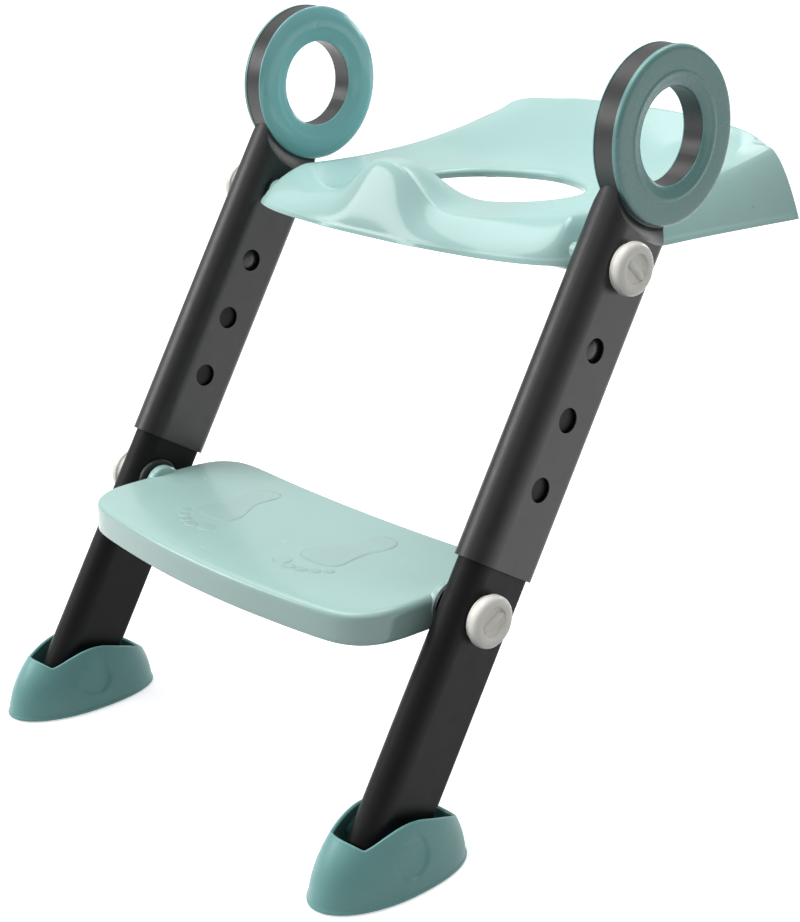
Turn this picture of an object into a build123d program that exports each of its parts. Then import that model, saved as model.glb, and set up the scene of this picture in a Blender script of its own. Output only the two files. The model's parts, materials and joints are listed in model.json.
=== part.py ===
from build123d import *
from math import sin, cos, radians, sqrt, exp
import os

os.makedirs("parts", exist_ok=True)

# ------------------------------------------------------------------
# Toddler toilet ladder: a seat that lies on a toilet bowl, carried at
# its front by two leaning telescopic legs with ring handles, a hinged
# step between the lower tubes and two rocking boots on the floor.
# Frame: X across (right leg at +X), +Y towards the toilet, +Z up,
# Z = 0 on the floor, X = Y = 0 at the middle of the footprint.
# All sizes in millimetres.
# ------------------------------------------------------------------

# legs
LEAN = 29.67            # lean of each leg from the vertical, top to the back
LEG_X = 167.5           # centre plane of each leg
LEG_Y = -173.8          # foot pivot, the zero of the distance along a leg
LEG_Z = 26.65
TUBE_W = 30.0           # upper tube, across (X)
TUBE_D = 55.0           # upper tube, front to back
TUBE_RF = 14.8          # large rounding of the tube's front edges
TUBE_RB = 6.0           # rounding of the tube's back edges
WALL = 2.35             # wall of the upper tube
SLIDE_GAP = 0.35        # clearance all round between the two tubes
LOW_WALL = 2.2          # wall of the lower tube
UPPER_S0 = 177.4        # lower end of the upper tube
UPPER_S1 = 424.0        # where the tube runs into the ring
CAVITY_S1 = 392.0       # closed end of the upper tube's bore
LOWER_S0 = -6.0
LOWER_S1 = 346.0

# height setting: three holes and a pair of snap buttons in each leg
HOLE_S = (323.1, 277.5, 231.9)
HOLE_R = 8.0
BUTTON_R = 7.7
BUTTON_BORE_R = 7.76
GROOVE_D = 1.1          # guide groove inside the upper tube, for the button tips
BUTTON_TRAVEL = 4.0

# ring handles
RING_S = 465.0
RING_P = 1.9
RING_R = 55.4
RING_HOLE_R = 30.6
RING_CORE_T = 14.4      # thickness of the dark core
GRIP_R = 55.8
GRIP_HOLE_R = 30.6
GRIP_T = 3.8            # how far each grip ring stands proud of the core

# hinges
BOLT_R = 3.0
BOLT_BORE_R = 3.07
SEAT_S, SEAT_P = 377.0, -3.0
STEP_S, STEP_P = 147.0, -3.0
KNOB_R = 17.0
KNOB_T = 10.2

# step
STEP_TOP = 164.0
STEP_T = 20.0
STEP_HX = 147.0         # end plane of the hinge barrels
STEP_Y0 = -186.8        # front edge, middle
STEP_Y1 = -45.8         # back edge, middle
STEP_HALF = ((0, -186.8), (24, -186.4), (47, -185.2), (72, -182.9), (97, -179.9), (118, -176.4), (130.5, -172.0),
             (139.5, -164.8), (145.4, -154.2), (148.0, -140.0), (148.6, -122.0), (149.2, -104.0), (149.8, -86.0),
             (149.4, -70.0), (146.6, -57.8), (140.2, -48.8), (130.0, -43.4), (115, -41.6), (94, -42.6), (66, -44.3),
             (33, -45.4), (0, -45.8))
BARREL_R = 7.4
STEP_WALL = 3.0
EAR_R = 13.5
STEP_WASHER_R = 16.4

# seat
RIM_Z = 353.0           # lower edge of the seat shell
SEAT_T = 3.0            # shell thickness
SEAT_Y_SHIFT = 242.0    # seat shape functions use y + SEAT_Y_SHIFT
SEAT_REAR = 471.0
OPEN_A, OPEN_B, OPEN_Y = 65.0, 62.0, 327.0 - 242.0
PAD_Z = 351.4           # underside of the anti-slip pads

# boots: half width, front end and back end of the shell at several heights
BOOT_Y0, BOOT_Y1 = -229.0, -111.0
BOOT_HW = 31.0
BOOT_SECTIONS = ((3.4, 29.8, -228.2, -112.0), (14.0, 29.0, -225.6, -114.0), (26.0, 26.8, -220.2, -118.6),
                 (38.0, 23.4, -211.5, -126.5), (52.0, 18.4, -199.0, -138.5))
BOOT_WALL = 3.1
BOOT_BASE = 0.8         # underside of the hard boot; the rubber sole stands proud
PIN_R = 4.0
PIN_BORE_R = 4.06

SL, CL = sin(radians(LEAN)), cos(radians(LEAN))


def leg_point(s, p, x=0.0):
    """Point on the right leg: s along it, p across it to the back, x outwards."""
    return (LEG_X + x, LEG_Y + SL * s + CL * p, LEG_Z + CL * s - SL * p)


def across(s, p=0.0, x=0.0):
    """Plane square to the right leg: local x = X, local y = to the back."""
    return Plane(origin=leg_point(s, p, x), x_dir=(1, 0, 0), z_dir=(0, SL, CL))


def beside(s, p, x):
    """Plane facing outwards (+X) at a point of the right leg: local y = up the leg."""
    return Plane(origin=leg_point(s, p, x), x_dir=(0, CL, -SL), z_dir=(1, 0, 0))


def facing_x(x, y, z):
    """Plane facing +X with local x = Y and local y = Z."""
    return Plane(origin=(x, y, z), x_dir=(0, 1, 0), z_dir=(1, 0, 0))


def write(builder, name):
    builder.part.label = name
    export_step(builder.part, "parts/" + name + ".step")


# ------------------------------------------------------------------
# upper legs: hollow tube that runs into a ring
# ------------------------------------------------------------------
ring_axis = Axis(leg_point(RING_S, RING_P), (1, 0, 0))
ring_section_plane = Plane(origin=leg_point(RING_S, RING_P), x_dir=(1, 0, 0), z_dir=(0, SL, CL))

with BuildPart() as upper_leg_right:
    with BuildSketch(across(UPPER_S0)) as sk:
        Rectangle(TUBE_W, TUBE_D)
        fillet(sk.vertices().sort_by(Axis.Y)[:2], TUBE_RF)
        fillet(sk.vertices().sort_by(Axis.Y)[-2:], TUBE_RB)
    extrude(amount=UPPER_S1 - UPPER_S0)
    # scooped seats on both sides, coaxial with the ring
    with BuildSketch(ring_section_plane) as sk:
        for side in (1, -1):
            with BuildLine() as ln:
                l1 = Line((side * RING_CORE_T / 2, 0), (side * RING_CORE_T / 2, 57.0))
                l2 = ThreePointArc(l1 @ 1, (side * 11.2, 63.4), (side * 15.6, 67.5))
                l3 = Line(l2 @ 1, (side * 24, 67.5))
                l4 = Line(l3 @ 1, (side * 24, 0))
                Line(l4 @ 1, l1 @ 0)
            make_face()
    revolve(axis=ring_axis, mode=Mode.SUBTRACT)
    # ring core
    with BuildSketch(beside(RING_S, RING_P, -RING_CORE_T / 2)):
        Circle(RING_R)
    extrude(amount=RING_CORE_T)
    with BuildSketch(beside(RING_S, RING_P, -20)):
        Circle(RING_HOLE_R)
    extrude(amount=40, mode=Mode.SUBTRACT)
    # bore
    with BuildSketch(across(UPPER_S0 - 1)) as sk:
        Rectangle(TUBE_W - 2 * WALL, TUBE_D - 2 * WALL)
        fillet(sk.vertices().sort_by(Axis.Y)[:2], TUBE_RF - WALL)
        fillet(sk.vertices().sort_by(Axis.Y)[-2:], TUBE_RB - WALL)
    extrude(amount=CAVITY_S1 - UPPER_S0 + 1, mode=Mode.SUBTRACT)
    # guide grooves for the button tips, inside both flat sides
    groove_mid = (HOLE_S[0] + HOLE_S[2]) / 2
    groove_x = TUBE_W / 2 - WALL + GROOVE_D
    with BuildSketch(beside(groove_mid, 0, -groove_x)):
        SlotOverall(HOLE_S[0] - HOLE_S[2] + 26, 18, rotation=90)
    extrude(amount=2 * groove_x, mode=Mode.SUBTRACT)
    # height holes and hinge bolt bores, through both sides
    for s in HOLE_S:
        with BuildSketch(beside(s, 0, -20)):
            Circle(HOLE_R)
        extrude(amount=40, mode=Mode.SUBTRACT)
    with BuildSketch(beside(SEAT_S, SEAT_P, -20)):
        Circle(BOLT_BORE_R)
    extrude(amount=40, mode=Mode.SUBTRACT)
write(upper_leg_right, "upper_leg_right")

with BuildPart() as upper_leg_left:
    mirror(upper_leg_right.part, about=Plane.YZ)
write(upper_leg_left, "upper_leg_left")

# grip rings: convex soft rings on both faces of each ring core
for name, side in (("outer", 1), ("inner", -1)):
    with BuildPart() as grip_ring:
        r_in, r_out = GRIP_HOLE_R, GRIP_R
        x0, x1 = RING_CORE_T / 2, RING_CORE_T / 2 + GRIP_T
        with BuildSketch(ring_section_plane):
            with BuildLine():
                a = Line((side * x0, r_in), (side * (x0 + 1.2), r_in))
                b = Spline(a @ 1, (side * (x1 - 0.5), r_in + 3.6), (side * x1, (r_in + r_out) / 2),
                           (side * (x1 - 0.7), r_out - 3.0), (side * (x0 + 1.0), r_out))
                c = Line(b @ 1, (side * x0, r_out))
                Line(c @ 1, a @ 0)
            make_face()
        revolve(axis=ring_axis)
    write(grip_ring, "grip_ring_" + name + "_right")
    with BuildPart() as grip_ring_l:
        mirror(grip_ring.part, about=Plane.YZ)
    write(grip_ring_l, "grip_ring_" + name + "_left")

# spacer washers between each leg and the seat's hinge boss
with BuildPart() as hinge_washers:
    with BuildSketch(beside(SEAT_S, SEAT_P, -TUBE_W / 2 - 2.1)):
        Circle(9.4)
        Circle(BOLT_BORE_R + 0.3, mode=Mode.SUBTRACT)
    extrude(amount=2.1)
    mirror(about=Plane.YZ)
write(hinge_washers, "seat_hinge_washers")

# ------------------------------------------------------------------
# lower legs
# ------------------------------------------------------------------
LOW_IN = WALL + SLIDE_GAP
LOW_W, LOW_D = TUBE_W - 2 * LOW_IN, TUBE_D - 2 * LOW_IN

with BuildPart() as lower_leg_right:
    with BuildSketch(across(LOWER_S0)) as sk:
        Rectangle(LOW_W, LOW_D)
        fillet(sk.vertices().sort_by(Axis.Y)[:2], TUBE_RF - LOW_IN)
        fillet(sk.vertices().sort_by(Axis.Y)[-2:], TUBE_RB - LOW_IN)
    extrude(amount=LOWER_S1 - LOWER_S0)
    with BuildSketch(across(LOWER_S0 - 1)) as sk:
        Rectangle(LOW_W - 2 * LOW_WALL, LOW_D - 2 * LOW_WALL)
        fillet(sk.vertices().sort_by(Axis.Y)[:2], TUBE_RF - LOW_IN - LOW_WALL)
        fillet(sk.vertices().sort_by(Axis.Y)[-2:], TUBE_RB - LOW_IN - LOW_WALL)
    extrude(amount=LOWER_S1 - LOWER_S0 + 2, mode=Mode.SUBTRACT)
    with BuildSketch(beside(HOLE_S[0], 0, -20)):
        Circle(BUTTON_BORE_R)
    extrude(amount=40, mode=Mode.SUBTRACT)
    with BuildSketch(beside(STEP_S, STEP_P, -20)):
        Circle(BOLT_BORE_R)
    extrude(amount=40, mode=Mode.SUBTRACT)
    with BuildSketch(beside(0, 0, -20)):
        Circle(PIN_BORE_R)
    extrude(amount=40, mode=Mode.SUBTRACT)
write(lower_leg_right, "lower_leg_right")

with BuildPart() as lower_leg_left:
    mirror(lower_leg_right.part, about=Plane.YZ)
write(lower_leg_left, "lower_leg_left")

# end plug in the bottom of each lower tube, with the eye for the foot pin
EYE_R = 17.0
with BuildPart() as leg_foot_plug_right:
    with BuildSketch(across(LOWER_S0)) as sk:
        Rectangle(LOW_W - 2 * LOW_WALL, LOW_D - 2 * LOW_WALL)
        fillet(sk.vertices().sort_by(Axis.Y)[:2], TUBE_RF - LOW_IN - LOW_WALL)
        fillet(sk.vertices().sort_by(Axis.Y)[-2:], TUBE_RB - LOW_IN - LOW_WALL)
    extrude(amount=26)
    # rounded toe that closes the tube's open end
    with BuildSketch(beside(0, 0, -LOW_W / 2)):
        Circle(EYE_R)
        with Locations((0, LOWER_S0 + 20)):
            Rectangle(80, 40, mode=Mode.SUBTRACT)
    extrude(amount=LOW_W)
    with BuildSketch(beside(0, 0, -20)):
        Circle(PIN_BORE_R)
    extrude(amount=40, mode=Mode.SUBTRACT)
write(leg_foot_plug_right, "leg_foot_plug_right")
with BuildPart() as leg_foot_plug_left:
    mirror(leg_foot_plug_right.part, about=Plane.YZ)
write(leg_foot_plug_left, "leg_foot_plug_left")

# snap buttons: a domed head in the lower tube's hole, with a retaining flange
HEAD_TIP = TUBE_W / 2 - WALL + GROOVE_D - 0.45
HEAD_IN = LOW_W / 2 - LOW_WALL - 0.3
DOME_H = 1.6
DOME_R = (BUTTON_R ** 2 + DOME_H ** 2) / (2 * DOME_H)
button_plane = Plane(origin=leg_point(HOLE_S[0], 0), x_dir=(1, 0, 0), z_dir=(0, SL, CL))
button_axis = Axis(leg_point(HOLE_S[0], 0), (1, 0, 0))
for name, side in (("outer", 1), ("inner", -1)):
    with BuildPart() as snap_button:
        with BuildSketch(button_plane):
            with BuildLine():
                a = Line((side * (HEAD_IN - 1.4), 0), (side * (HEAD_IN - 1.4), 8.9))
                b = Line(a @ 1, (side * HEAD_IN, 8.9))
                c = Line(b @ 1, (side * HEAD_IN, BUTTON_R))
                d = Line(c @ 1, (side * (HEAD_TIP - DOME_H), BUTTON_R))
                e = ThreePointArc(d @ 1, (side * (HEAD_TIP - DOME_R + sqrt(DOME_R ** 2 - 16.0)), 4.0), (side * HEAD_TIP, 0))
                Line(e @ 1, a @ 0)
            make_face()
        revolve(axis=button_axis)
    write(snap_button, "snap_button_" + name + "_right")
    with BuildPart() as snap_button_l:
        mirror(snap_button.part, about=Plane.YZ)
    write(snap_button_l, "snap_button_" + name + "_left")

# bent leaf spring behind both buttons of a leg
SPRING_X = HEAD_IN - 1.4 - 0.3
with BuildPart() as snap_spring_right:
    with BuildSketch(Plane(origin=leg_point(HOLE_S[0], -4.5), x_dir=(1, 0, 0), z_dir=(0, CL, -SL))) as sk:
        # local x = X, local y = down the leg
        with Locations((0, 8.5)):
            Rectangle(2 * SPRING_X, 31)
        with Locations((0, 24)):
            Circle(SPRING_X)
        with Locations((0, 8.0)):
            Rectangle(2 * SPRING_X - 1.4, 32, mode=Mode.SUBTRACT)
        with Locations((0, 24)):
            Circle(SPRING_X - 0.7, mode=Mode.SUBTRACT)
    extrude(amount=9.0)
write(snap_spring_right, "snap_spring_right")
with BuildPart() as snap_spring_left:
    mirror(snap_spring_right.part, about=Plane.YZ)
write(snap_spring_left, "snap_spring_left")

# black washers between the step's ears and the lower tubes
LOW_FACE = LEG_X - LOW_W / 2
with BuildPart() as step_washers:
    with BuildSketch(beside(STEP_S, STEP_P, -LOW_W / 2 - 3.0)):
        Circle(STEP_WASHER_R)
        Circle(BOLT_BORE_R + 0.3, mode=Mode.SUBTRACT)
    extrude(amount=3.0)
    fillet(step_washers.edges().filter_by(GeomType.CIRCLE).filter_by(lambda e: e.radius > 15).sort_by(Axis.X)[0], 1.2)
    mirror(about=Plane.YZ)
write(step_washers, "step_hinge_washers")

# ------------------------------------------------------------------
# clamping knobs and their bolts
# ------------------------------------------------------------------
def knob(s, p, x_face, bar_angle):
    """Round hand knob on the outside of the right leg, on its hinge bolt."""
    pl = Plane(origin=leg_point(s, p), x_dir=(1, 0, 0), z_dir=(0, SL, CL))
    ax = Axis(leg_point(s, p), (1, 0, 0))
    x0, x1 = x_face + 0.4, x_face + 0.4 + KNOB_T
    with BuildPart() as k:
        with BuildSketch(pl) as sk:
            with BuildLine():
                Polyline((x0, BOLT_R), (x0, KNOB_R - 2.6), (x0 + 2.0, KNOB_R - 1.0), (x0 + 3.2, KNOB_R),
                         (x1 - 1.2, KNOB_R), (x1, KNOB_R - 2.0), (x1, 10.4), (x1 - 2.0, 9.4),
                         (x1 - 2.0, 0), (x1 - 3.4, 0), (x1 - 3.4, BOLT_R), (x0, BOLT_R))
            make_face()
        revolve(axis=ax)
        with BuildSketch(beside(s, p, x1 - 2.2)):
            with Locations(Rotation(0, 0, bar_angle)):
                SlotOverall(17.4, 4.6)
        extrude(amount=2.2)
        fillet(k.faces().sort_by(Axis.X)[-1].edges(), 0.7)
    return k


def bolt(s, p, x_face, x_in):
    """Bolt moulded into a knob; its threaded end reaches the nut insert."""
    ax_pl = Plane(origin=leg_point(s, p, x_in), x_dir=(0, CL, -SL), z_dir=(1, 0, 0))
    length = x_face + 0.4 + KNOB_T - 3.4 - x_in
    with BuildPart() as b:
        with BuildSketch(ax_pl):
            Circle(BOLT_R)
        extrude(amount=length)
        chamfer(b.edges().filter_by(GeomType.CIRCLE).sort_by(Axis.X)[0], 0.7)
    return b


SEAT_BOLT_IN = -(LEG_X - 134.0)
STEP_BOLT_IN = -(LEG_X - 131.0)
for tag, s, p, xf, xin, ang in (("seat", SEAT_S, SEAT_P, TUBE_W / 2, SEAT_BOLT_IN, -62.0),
                                ("step", STEP_S, STEP_P, LOW_W / 2, STEP_BOLT_IN, 18.0)):
    k = knob(s, p, xf, ang)
    write(k, tag + "_knob_right")
    with BuildPart() as kl:
        mirror(k.part, about=Plane.YZ)
    write(kl, tag + "_knob_left")
    b = bolt(s, p, xf, xin)
    write(b, tag + "_bolt_right")
    with BuildPart() as bl:
        mirror(b.part, about=Plane.YZ)
    write(bl, tag + "_bolt_left")

# ------------------------------------------------------------------
# step board
# ------------------------------------------------------------------
STEP_PIVOT = leg_point(STEP_S, STEP_P)
STEP_PY, STEP_PZ = STEP_PIVOT[1], STEP_PIVOT[2]


def step_outline(plane, inset=0.0):
    """Plan of the step: bowed front, full rounded corners; inset draws it in all round."""
    loop = list(STEP_HALF) + [(-x, y) for x, y in reversed(STEP_HALF[1:-1])]
    n = len(loop)
    pts = []
    for i in range(n):
        (xa, ya), (xb, yb) = loop[i - 1], loop[(i + 1) % n]
        l = sqrt((xb - xa) ** 2 + (yb - ya) ** 2)
        pts.append((loop[i][0] - (yb - ya) / l * inset, loop[i][1] + (xb - xa) / l * inset))
    with BuildSketch(plane) as sk:
        with BuildLine():
            Spline(*pts, periodic=True)
        make_face()
    return sk


with BuildPart() as step_board:
    sk = step_outline(Plane.XY.offset(STEP_TOP - STEP_T))
    extrude(sk.sketch, amount=STEP_T)
    fillet(step_board.faces().sort_by(Axis.Z)[-1].edges(), 4.0)
    # hollow underside
    sk = step_outline(Plane.XY.offset(STEP_TOP - STEP_T), STEP_WALL)
    extrude(sk.sketch, amount=STEP_T - STEP_WALL, mode=Mode.SUBTRACT)
    # ribs
    sk = step_outline(Plane.XY.offset(STEP_TOP - STEP_T + 1.0), STEP_WALL - 0.5)
    with BuildPart(mode=Mode.PRIVATE) as ribs:
        extrude(sk.sketch, amount=STEP_T - 3.0)
        with BuildSketch(Plane.XY.offset(STEP_TOP - STEP_T)) as cut:
            Rectangle(400, 400)
            with GridLocations(42, 400, 7, 1):
                Rectangle(2.2, 400, mode=Mode.SUBTRACT)
            with Locations((0, STEP_Y0 + 40), (0, STEP_Y1 - 34)):
                Rectangle(400, 2.2, mode=Mode.SUBTRACT)
        extrude(cut.sketch, amount=STEP_T, mode=Mode.SUBTRACT)
    add(ribs.part)
    # hinge barrels at both ends, with ears that stand up beside the legs
    for side in (1, -1):
        with BuildSketch(facing_x(side * 118.0, STEP_PY, STEP_PZ)):
            Circle(BARREL_R)
        extrude(amount=side * 31.0)
        with BuildSketch(facing_x(side * (STEP_HX - 3.0), STEP_PY, STEP_PZ)):
            Circle(EAR_R)
        extrude(amount=side * 7.6)
        with BuildSketch(facing_x(side * 119.0, STEP_PY, STEP_PZ)):
            Circle(5.0)
        extrude(amount=side * 60.0, mode=Mode.SUBTRACT)
    # a pair of bare footprints in low relief on the tread
    for side in (1, -1):
        with BuildSketch(Plane.XY.offset(STEP_TOP - 0.5)):
            with Locations((side * 51, -116)):
                Ellipse(18.5, 19.5, rotation=side * -20)
            with Locations((side * 58, -86)):
                Ellipse(13.5, 17, rotation=side * -12)
            for dx, dy, r in ((40.5, -144.5, 7.2), (53.5, -148.0, 5.2), (63.6, -145.2, 4.6), (71.8, -140.2, 4.1), (78.4, -133.4, 3.6)):
                with Locations((side * dx, dy)):
                    Circle(r)
        extrude(amount=1.1)
write(step_board, "step_board")

with BuildPart() as step_nut_inserts:
    for side in (1, -1):
        with BuildSketch(facing_x(side * 124.0, STEP_PY, STEP_PZ)):
            Circle(5.0)
            Circle(BOLT_BORE_R, mode=Mode.SUBTRACT)
        extrude(amount=side * 22.0)
write(step_nut_inserts, "step_nut_inserts")

# ------------------------------------------------------------------
# seat
# ------------------------------------------------------------------
def seat_front(x):
    a = abs(x) / 148.0
    return 203.0 + 27.0 * a ** 3 - SEAT_Y_SHIFT


def seat_half(y):
    yf = y + SEAT_Y_SHIFT
    w = 150.2 - 13.0 * exp(-(max(yf, 205.0) - 223.0) / 9.0)
    if yf > 360:
        w += 5.8 * ((yf - 360.0) / 110.0) ** 1.3
    return w


def seat_top(x, y):
    """Height of the seat's upper surface away from its edges."""
    yf = y + SEAT_Y_SHIFT
    ax = abs(x)
    side = 5.0 + (24.0 * (max(0.0, yf - 280.0) / 190.0) ** 1.9)
    t = max(0.0, ax - 60.0) / 67.0
    z = 374.0 + side * (t ** 2 if t < 1.3 else 1.69 + 2.6 * (t - 1.3))
    if yf > 385:
        z += 45.5 * max(0.0, 1.0 - (ax / 127.0) ** 4.2) * (min(1.15, (yf - 385.0) / 85.0)) ** 1.5
    z += 27.0 * exp(-(ax / 35.0) ** 2.8) * exp(-(abs(yf - 229.0) / 33.0) ** 2.6)
    return z


def seat_outline(plane, inset, drop):
    """Plan outline of the seat, drawn in by inset at the sides and front."""
    n = 9
    xt = 138.5
    with BuildSketch(plane) as sk:
        with BuildLine():
            pts = []
            for i in range(-n, n + 1):
                x = xt * i / n
                pts.append(((xt - inset[0]) * i / n, seat_front(x) + inset[1]))
            f = Spline(*pts)
            ys = [seat_front(xt) + inset[1] + (SEAT_REAR - SEAT_Y_SHIFT - inset[2] - seat_front(xt) - inset[1]) * k / 7.0 for k in range(8)]
            right = [f @ 1] + [(seat_half(y) - inset[0], y) for y in ys[1:]]
            r = Spline(*[(p[0], p[1]) if isinstance(p, tuple) else (p.X, p.Y) for p in right])
            left = [(-seat_half(y) + inset[0], y) for y in reversed(ys[1:])]
            b = Line(r @ 1, left[0])
            l = Spline(*(left + [((f @ 0).X, (f @ 0).Y)]))
        make_face()
    return sk.sketch


def below_surface(lower):
    """Everything between the seat's upper surface, lowered by lower, and well under the rim."""
    xs = [-176 + 8.0 * i for i in range(45)]
    ys = [-56 + 8.0 * j for j in range(38)]
    pts = [[(x, y, seat_top(x, y) - lower) for y in ys] for x in xs]
    face = Face.make_surface_from_array_of_points(pts, tol=0.05, min_deg=3, max_deg=5)
    return Solid.extrude(face, Vector(0, 0, -110))


def seat_body(t, z0):
    """Drafted block of the seat's plan, from z0 up, trimmed by the upper surface."""
    z1 = 432.0
    k0, k1 = z0 - RIM_Z, z1 - RIM_Z
    low = seat_outline(Plane.XY.offset(z0), (t + 0.57 * k0, t + 0.34 * k0, t + 0.04 * k0), 0)
    high = seat_outline(Plane.XY.offset(z1), (t + 0.57 * k1, t + 0.34 * k1, t + 0.04 * k1), 0)
    body = loft([low.face(), high.face()], ruled=True, mode=Mode.PRIVATE)
    return body & below_surface(t)


seat_outer = seat_body(0.0, RIM_Z)
seat_void = seat_body(SEAT_T, RIM_Z - 2.0)
HINGE = leg_point(SEAT_S, SEAT_P)
PAD_SPOTS = ((104, 30), (-104, 30), (112, 196), (-112, 196))

with BuildPart() as seat_shell:
    add(seat_outer)
    add(seat_void, mode=Mode.SUBTRACT)
    # inner rim wall and stiffening ribs, all kept under the upper skin
    with BuildPart(mode=Mode.PRIVATE) as under:
        with BuildSketch(Plane.XY.offset(367.0)):
            with Locations((0, OPEN_Y)):
                Ellipse(OPEN_A + 2.6, OPEN_B + 2.6)
        extrude(amount=40)
        with BuildSketch(Plane.XY.offset(356.0)):
            with GridLocations(156, 1, 2, 1):
                with Locations((0, 96)):
                    Rectangle(2.4, 236)
            with Locations((0, 24), (0, 186)):
                Rectangle(280, 2.4)
            with Locations(*PAD_SPOTS):
                Circle(9.0)
        extrude(amount=60)
        with BuildSketch(Plane.XY.offset(PAD_Z + 2.0)):
            with Locations(*PAD_SPOTS):
                Circle(9.0)
        extrude(amount=20)
        add(seat_void, mode=Mode.INTERSECT)
    add(under.part)
    # hinge bosses at the front corners
    for side in (1, -1):
        with BuildSketch(facing_x(side * 122.0, HINGE[1], HINGE[2])):
            Circle(9.2)
        extrude(amount=side * (150.0 - 122.0))
    with BuildSketch(Plane.XY.offset(RIM_Z - 12)):
        with Locations((0, OPEN_Y)):
            Ellipse(OPEN_A, OPEN_B)
    extrude(amount=100, mode=Mode.SUBTRACT)
    for side in (1, -1):
        with BuildSketch(facing_x(side * 124.0, HINGE[1], HINGE[2])):
            Circle(5.0)
        extrude(amount=side * 60.0, mode=Mode.SUBTRACT)
write(seat_shell, "seat_shell")

with BuildPart() as seat_nut_inserts:
    for side in (1, -1):
        with BuildSketch(facing_x(side * 127.0, HINGE[1], HINGE[2])):
            Circle(5.0)
            Circle(BOLT_BORE_R, mode=Mode.SUBTRACT)
        extrude(amount=side * 22.0)
write(seat_nut_inserts, "seat_nut_inserts")

with BuildPart() as seat_pads:
    with BuildSketch(Plane.XY.offset(PAD_Z)):
        with Locations(*PAD_SPOTS):
            Circle(8.0)
    extrude(amount=2.0)
    fillet(seat_pads.faces().filter_by(Axis.Z).filter_by(lambda f: abs(f.center().Z - PAD_Z) < 0.01).edges(), 0.5)
write(seat_pads, "seat_pads")

# ------------------------------------------------------------------
# boots
# ------------------------------------------------------------------
def boot_outline(plane, y0, y1, hw):
    """Boat-shaped plan of a boot about the leg's centre plane: pointed nose, fuller stern."""
    ym = y0 + 0.49 * (y1 - y0)
    pts = []
    for i in range(36):
        t = radians(10.0 * i)
        c, d = cos(t), sin(t)
        n = 2.0 / 2.05 if d < 0 else 2.0 / 2.4
        x = hw * (abs(c) ** n) * (1 if c >= 0 else -1)
        y = (abs(d) ** n) * (y0 - ym if d < 0 else y1 - ym)
        pts.append((LEG_X + x, ym + y))
    with BuildSketch(plane) as sk:
        with BuildLine():
            Spline(*pts, periodic=True)
        make_face()
    return sk.sketch


def boot_body(inset, z_low, z_high):
    """Bulging body through the sections, drawn in by inset."""
    faces = []
    for k, (z, hw, y0, y1) in enumerate(BOOT_SECTIONS):
        zz = z_low if k == 0 else (z_high if k == len(BOOT_SECTIONS) - 1 else z)
        faces.append(boot_outline(Plane.XY.offset(zz), y0 + inset, y1 - inset, hw - inset).face())
    return loft(faces, mode=Mode.PRIVATE)


boot_outer = boot_body(0.0, BOOT_SECTIONS[0][0], BOOT_SECTIONS[-1][0])
boot_inner = boot_body(BOOT_WALL, 5.2, 53.0)

with BuildPart() as foot_boot_right:
    add(boot_outer)
    # flange at the base
    extrude(boot_outline(Plane.XY.offset(BOOT_BASE), BOOT_Y0, BOOT_Y1, BOOT_HW), amount=2.8)
    # mouth: a tongue at the nose, a notch, a hump beside the leg, low at the stern
    with BuildSketch(facing_x(LEG_X - 45, 0, 0)):
        with BuildLine():
            s1 = Spline((-250, 50), (-228, 47.4), (-212.5, 42.2), (-203.5, 36.8))
            s2 = Spline(s1 @ 1, (-192, 41.2), (-181, 44.4), (-169.5, 45.3), (-158, 43.3), (-146, 39.4), (-138, 36.5),
                        (-130, 33.0), (-120, 27.0), (-104, 14.0))
            Polyline(s2 @ 1, (-104, 90), (-250, 90), s1 @ 0)
        make_face()
    extrude(amount=90, mode=Mode.SUBTRACT)
    # cavity for the leg end
    add(boot_inner, mode=Mode.SUBTRACT)
    # pivot bosses inside
    with BuildPart(mode=Mode.PRIVATE) as bosses:
        with BuildSketch(facing_x(LEG_X - 40.0, LEG_Y, LEG_Z)):
            Circle(11.0)
        extrude(amount=80.0)
        add(boot_outer, mode=Mode.INTERSECT)
        with BuildSketch(facing_x(LEG_X - LOW_W / 2 - 0.5, LEG_Y, LEG_Z)):
            Circle(18.5)
        extrude(amount=LOW_W + 1.0, mode=Mode.SUBTRACT)
    add(bosses.part)
    # pocket for the rubber sole
    extrude(boot_outline(Plane.XY, BOOT_Y0 + 4.0, BOOT_Y1 - 4.0, BOOT_HW - 4.0), amount=2.2, mode=Mode.SUBTRACT)
    with BuildSketch(facing_x(LEG_X - 22.0, LEG_Y, LEG_Z)):
        Circle(PIN_R)
    extrude(amount=44.0, mode=Mode.SUBTRACT)
write(foot_boot_right, "foot_boot_right")
with BuildPart() as foot_boot_left:
    mirror(foot_boot_right.part, about=Plane.YZ)
write(foot_boot_left, "foot_boot_left")

with BuildPart() as foot_sole_right:
    extrude(boot_outline(Plane.XY, BOOT_Y0 + 4.0, BOOT_Y1 - 4.0, BOOT_HW - 4.0), amount=2.2)
write(foot_sole_right, "foot_sole_right")
with BuildPart() as foot_sole_left:
    mirror(foot_sole_right.part, about=Plane.YZ)
write(foot_sole_left, "foot_sole_left")

with BuildPart() as foot_pin_right:
    with BuildSketch(facing_x(LEG_X - 22.0, LEG_Y, LEG_Z)):
        Circle(PIN_R)
    extrude(amount=44.0)
    chamfer(foot_pin_right.edges().filter_by(GeomType.CIRCLE), 0.6)
write(foot_pin_right, "foot_pin_right")
with BuildPart() as foot_pin_left:
    mirror(foot_pin_right.part, about=Plane.YZ)
write(foot_pin_left, "foot_pin_left")

print("seat hinge at", HINGE, " step hinge at", STEP_PIVOT, " tube section", LOW_W, LOW_D)
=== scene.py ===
import json
import math
import bpy
import numpy as np
from mathutils import Matrix, Vector

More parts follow.
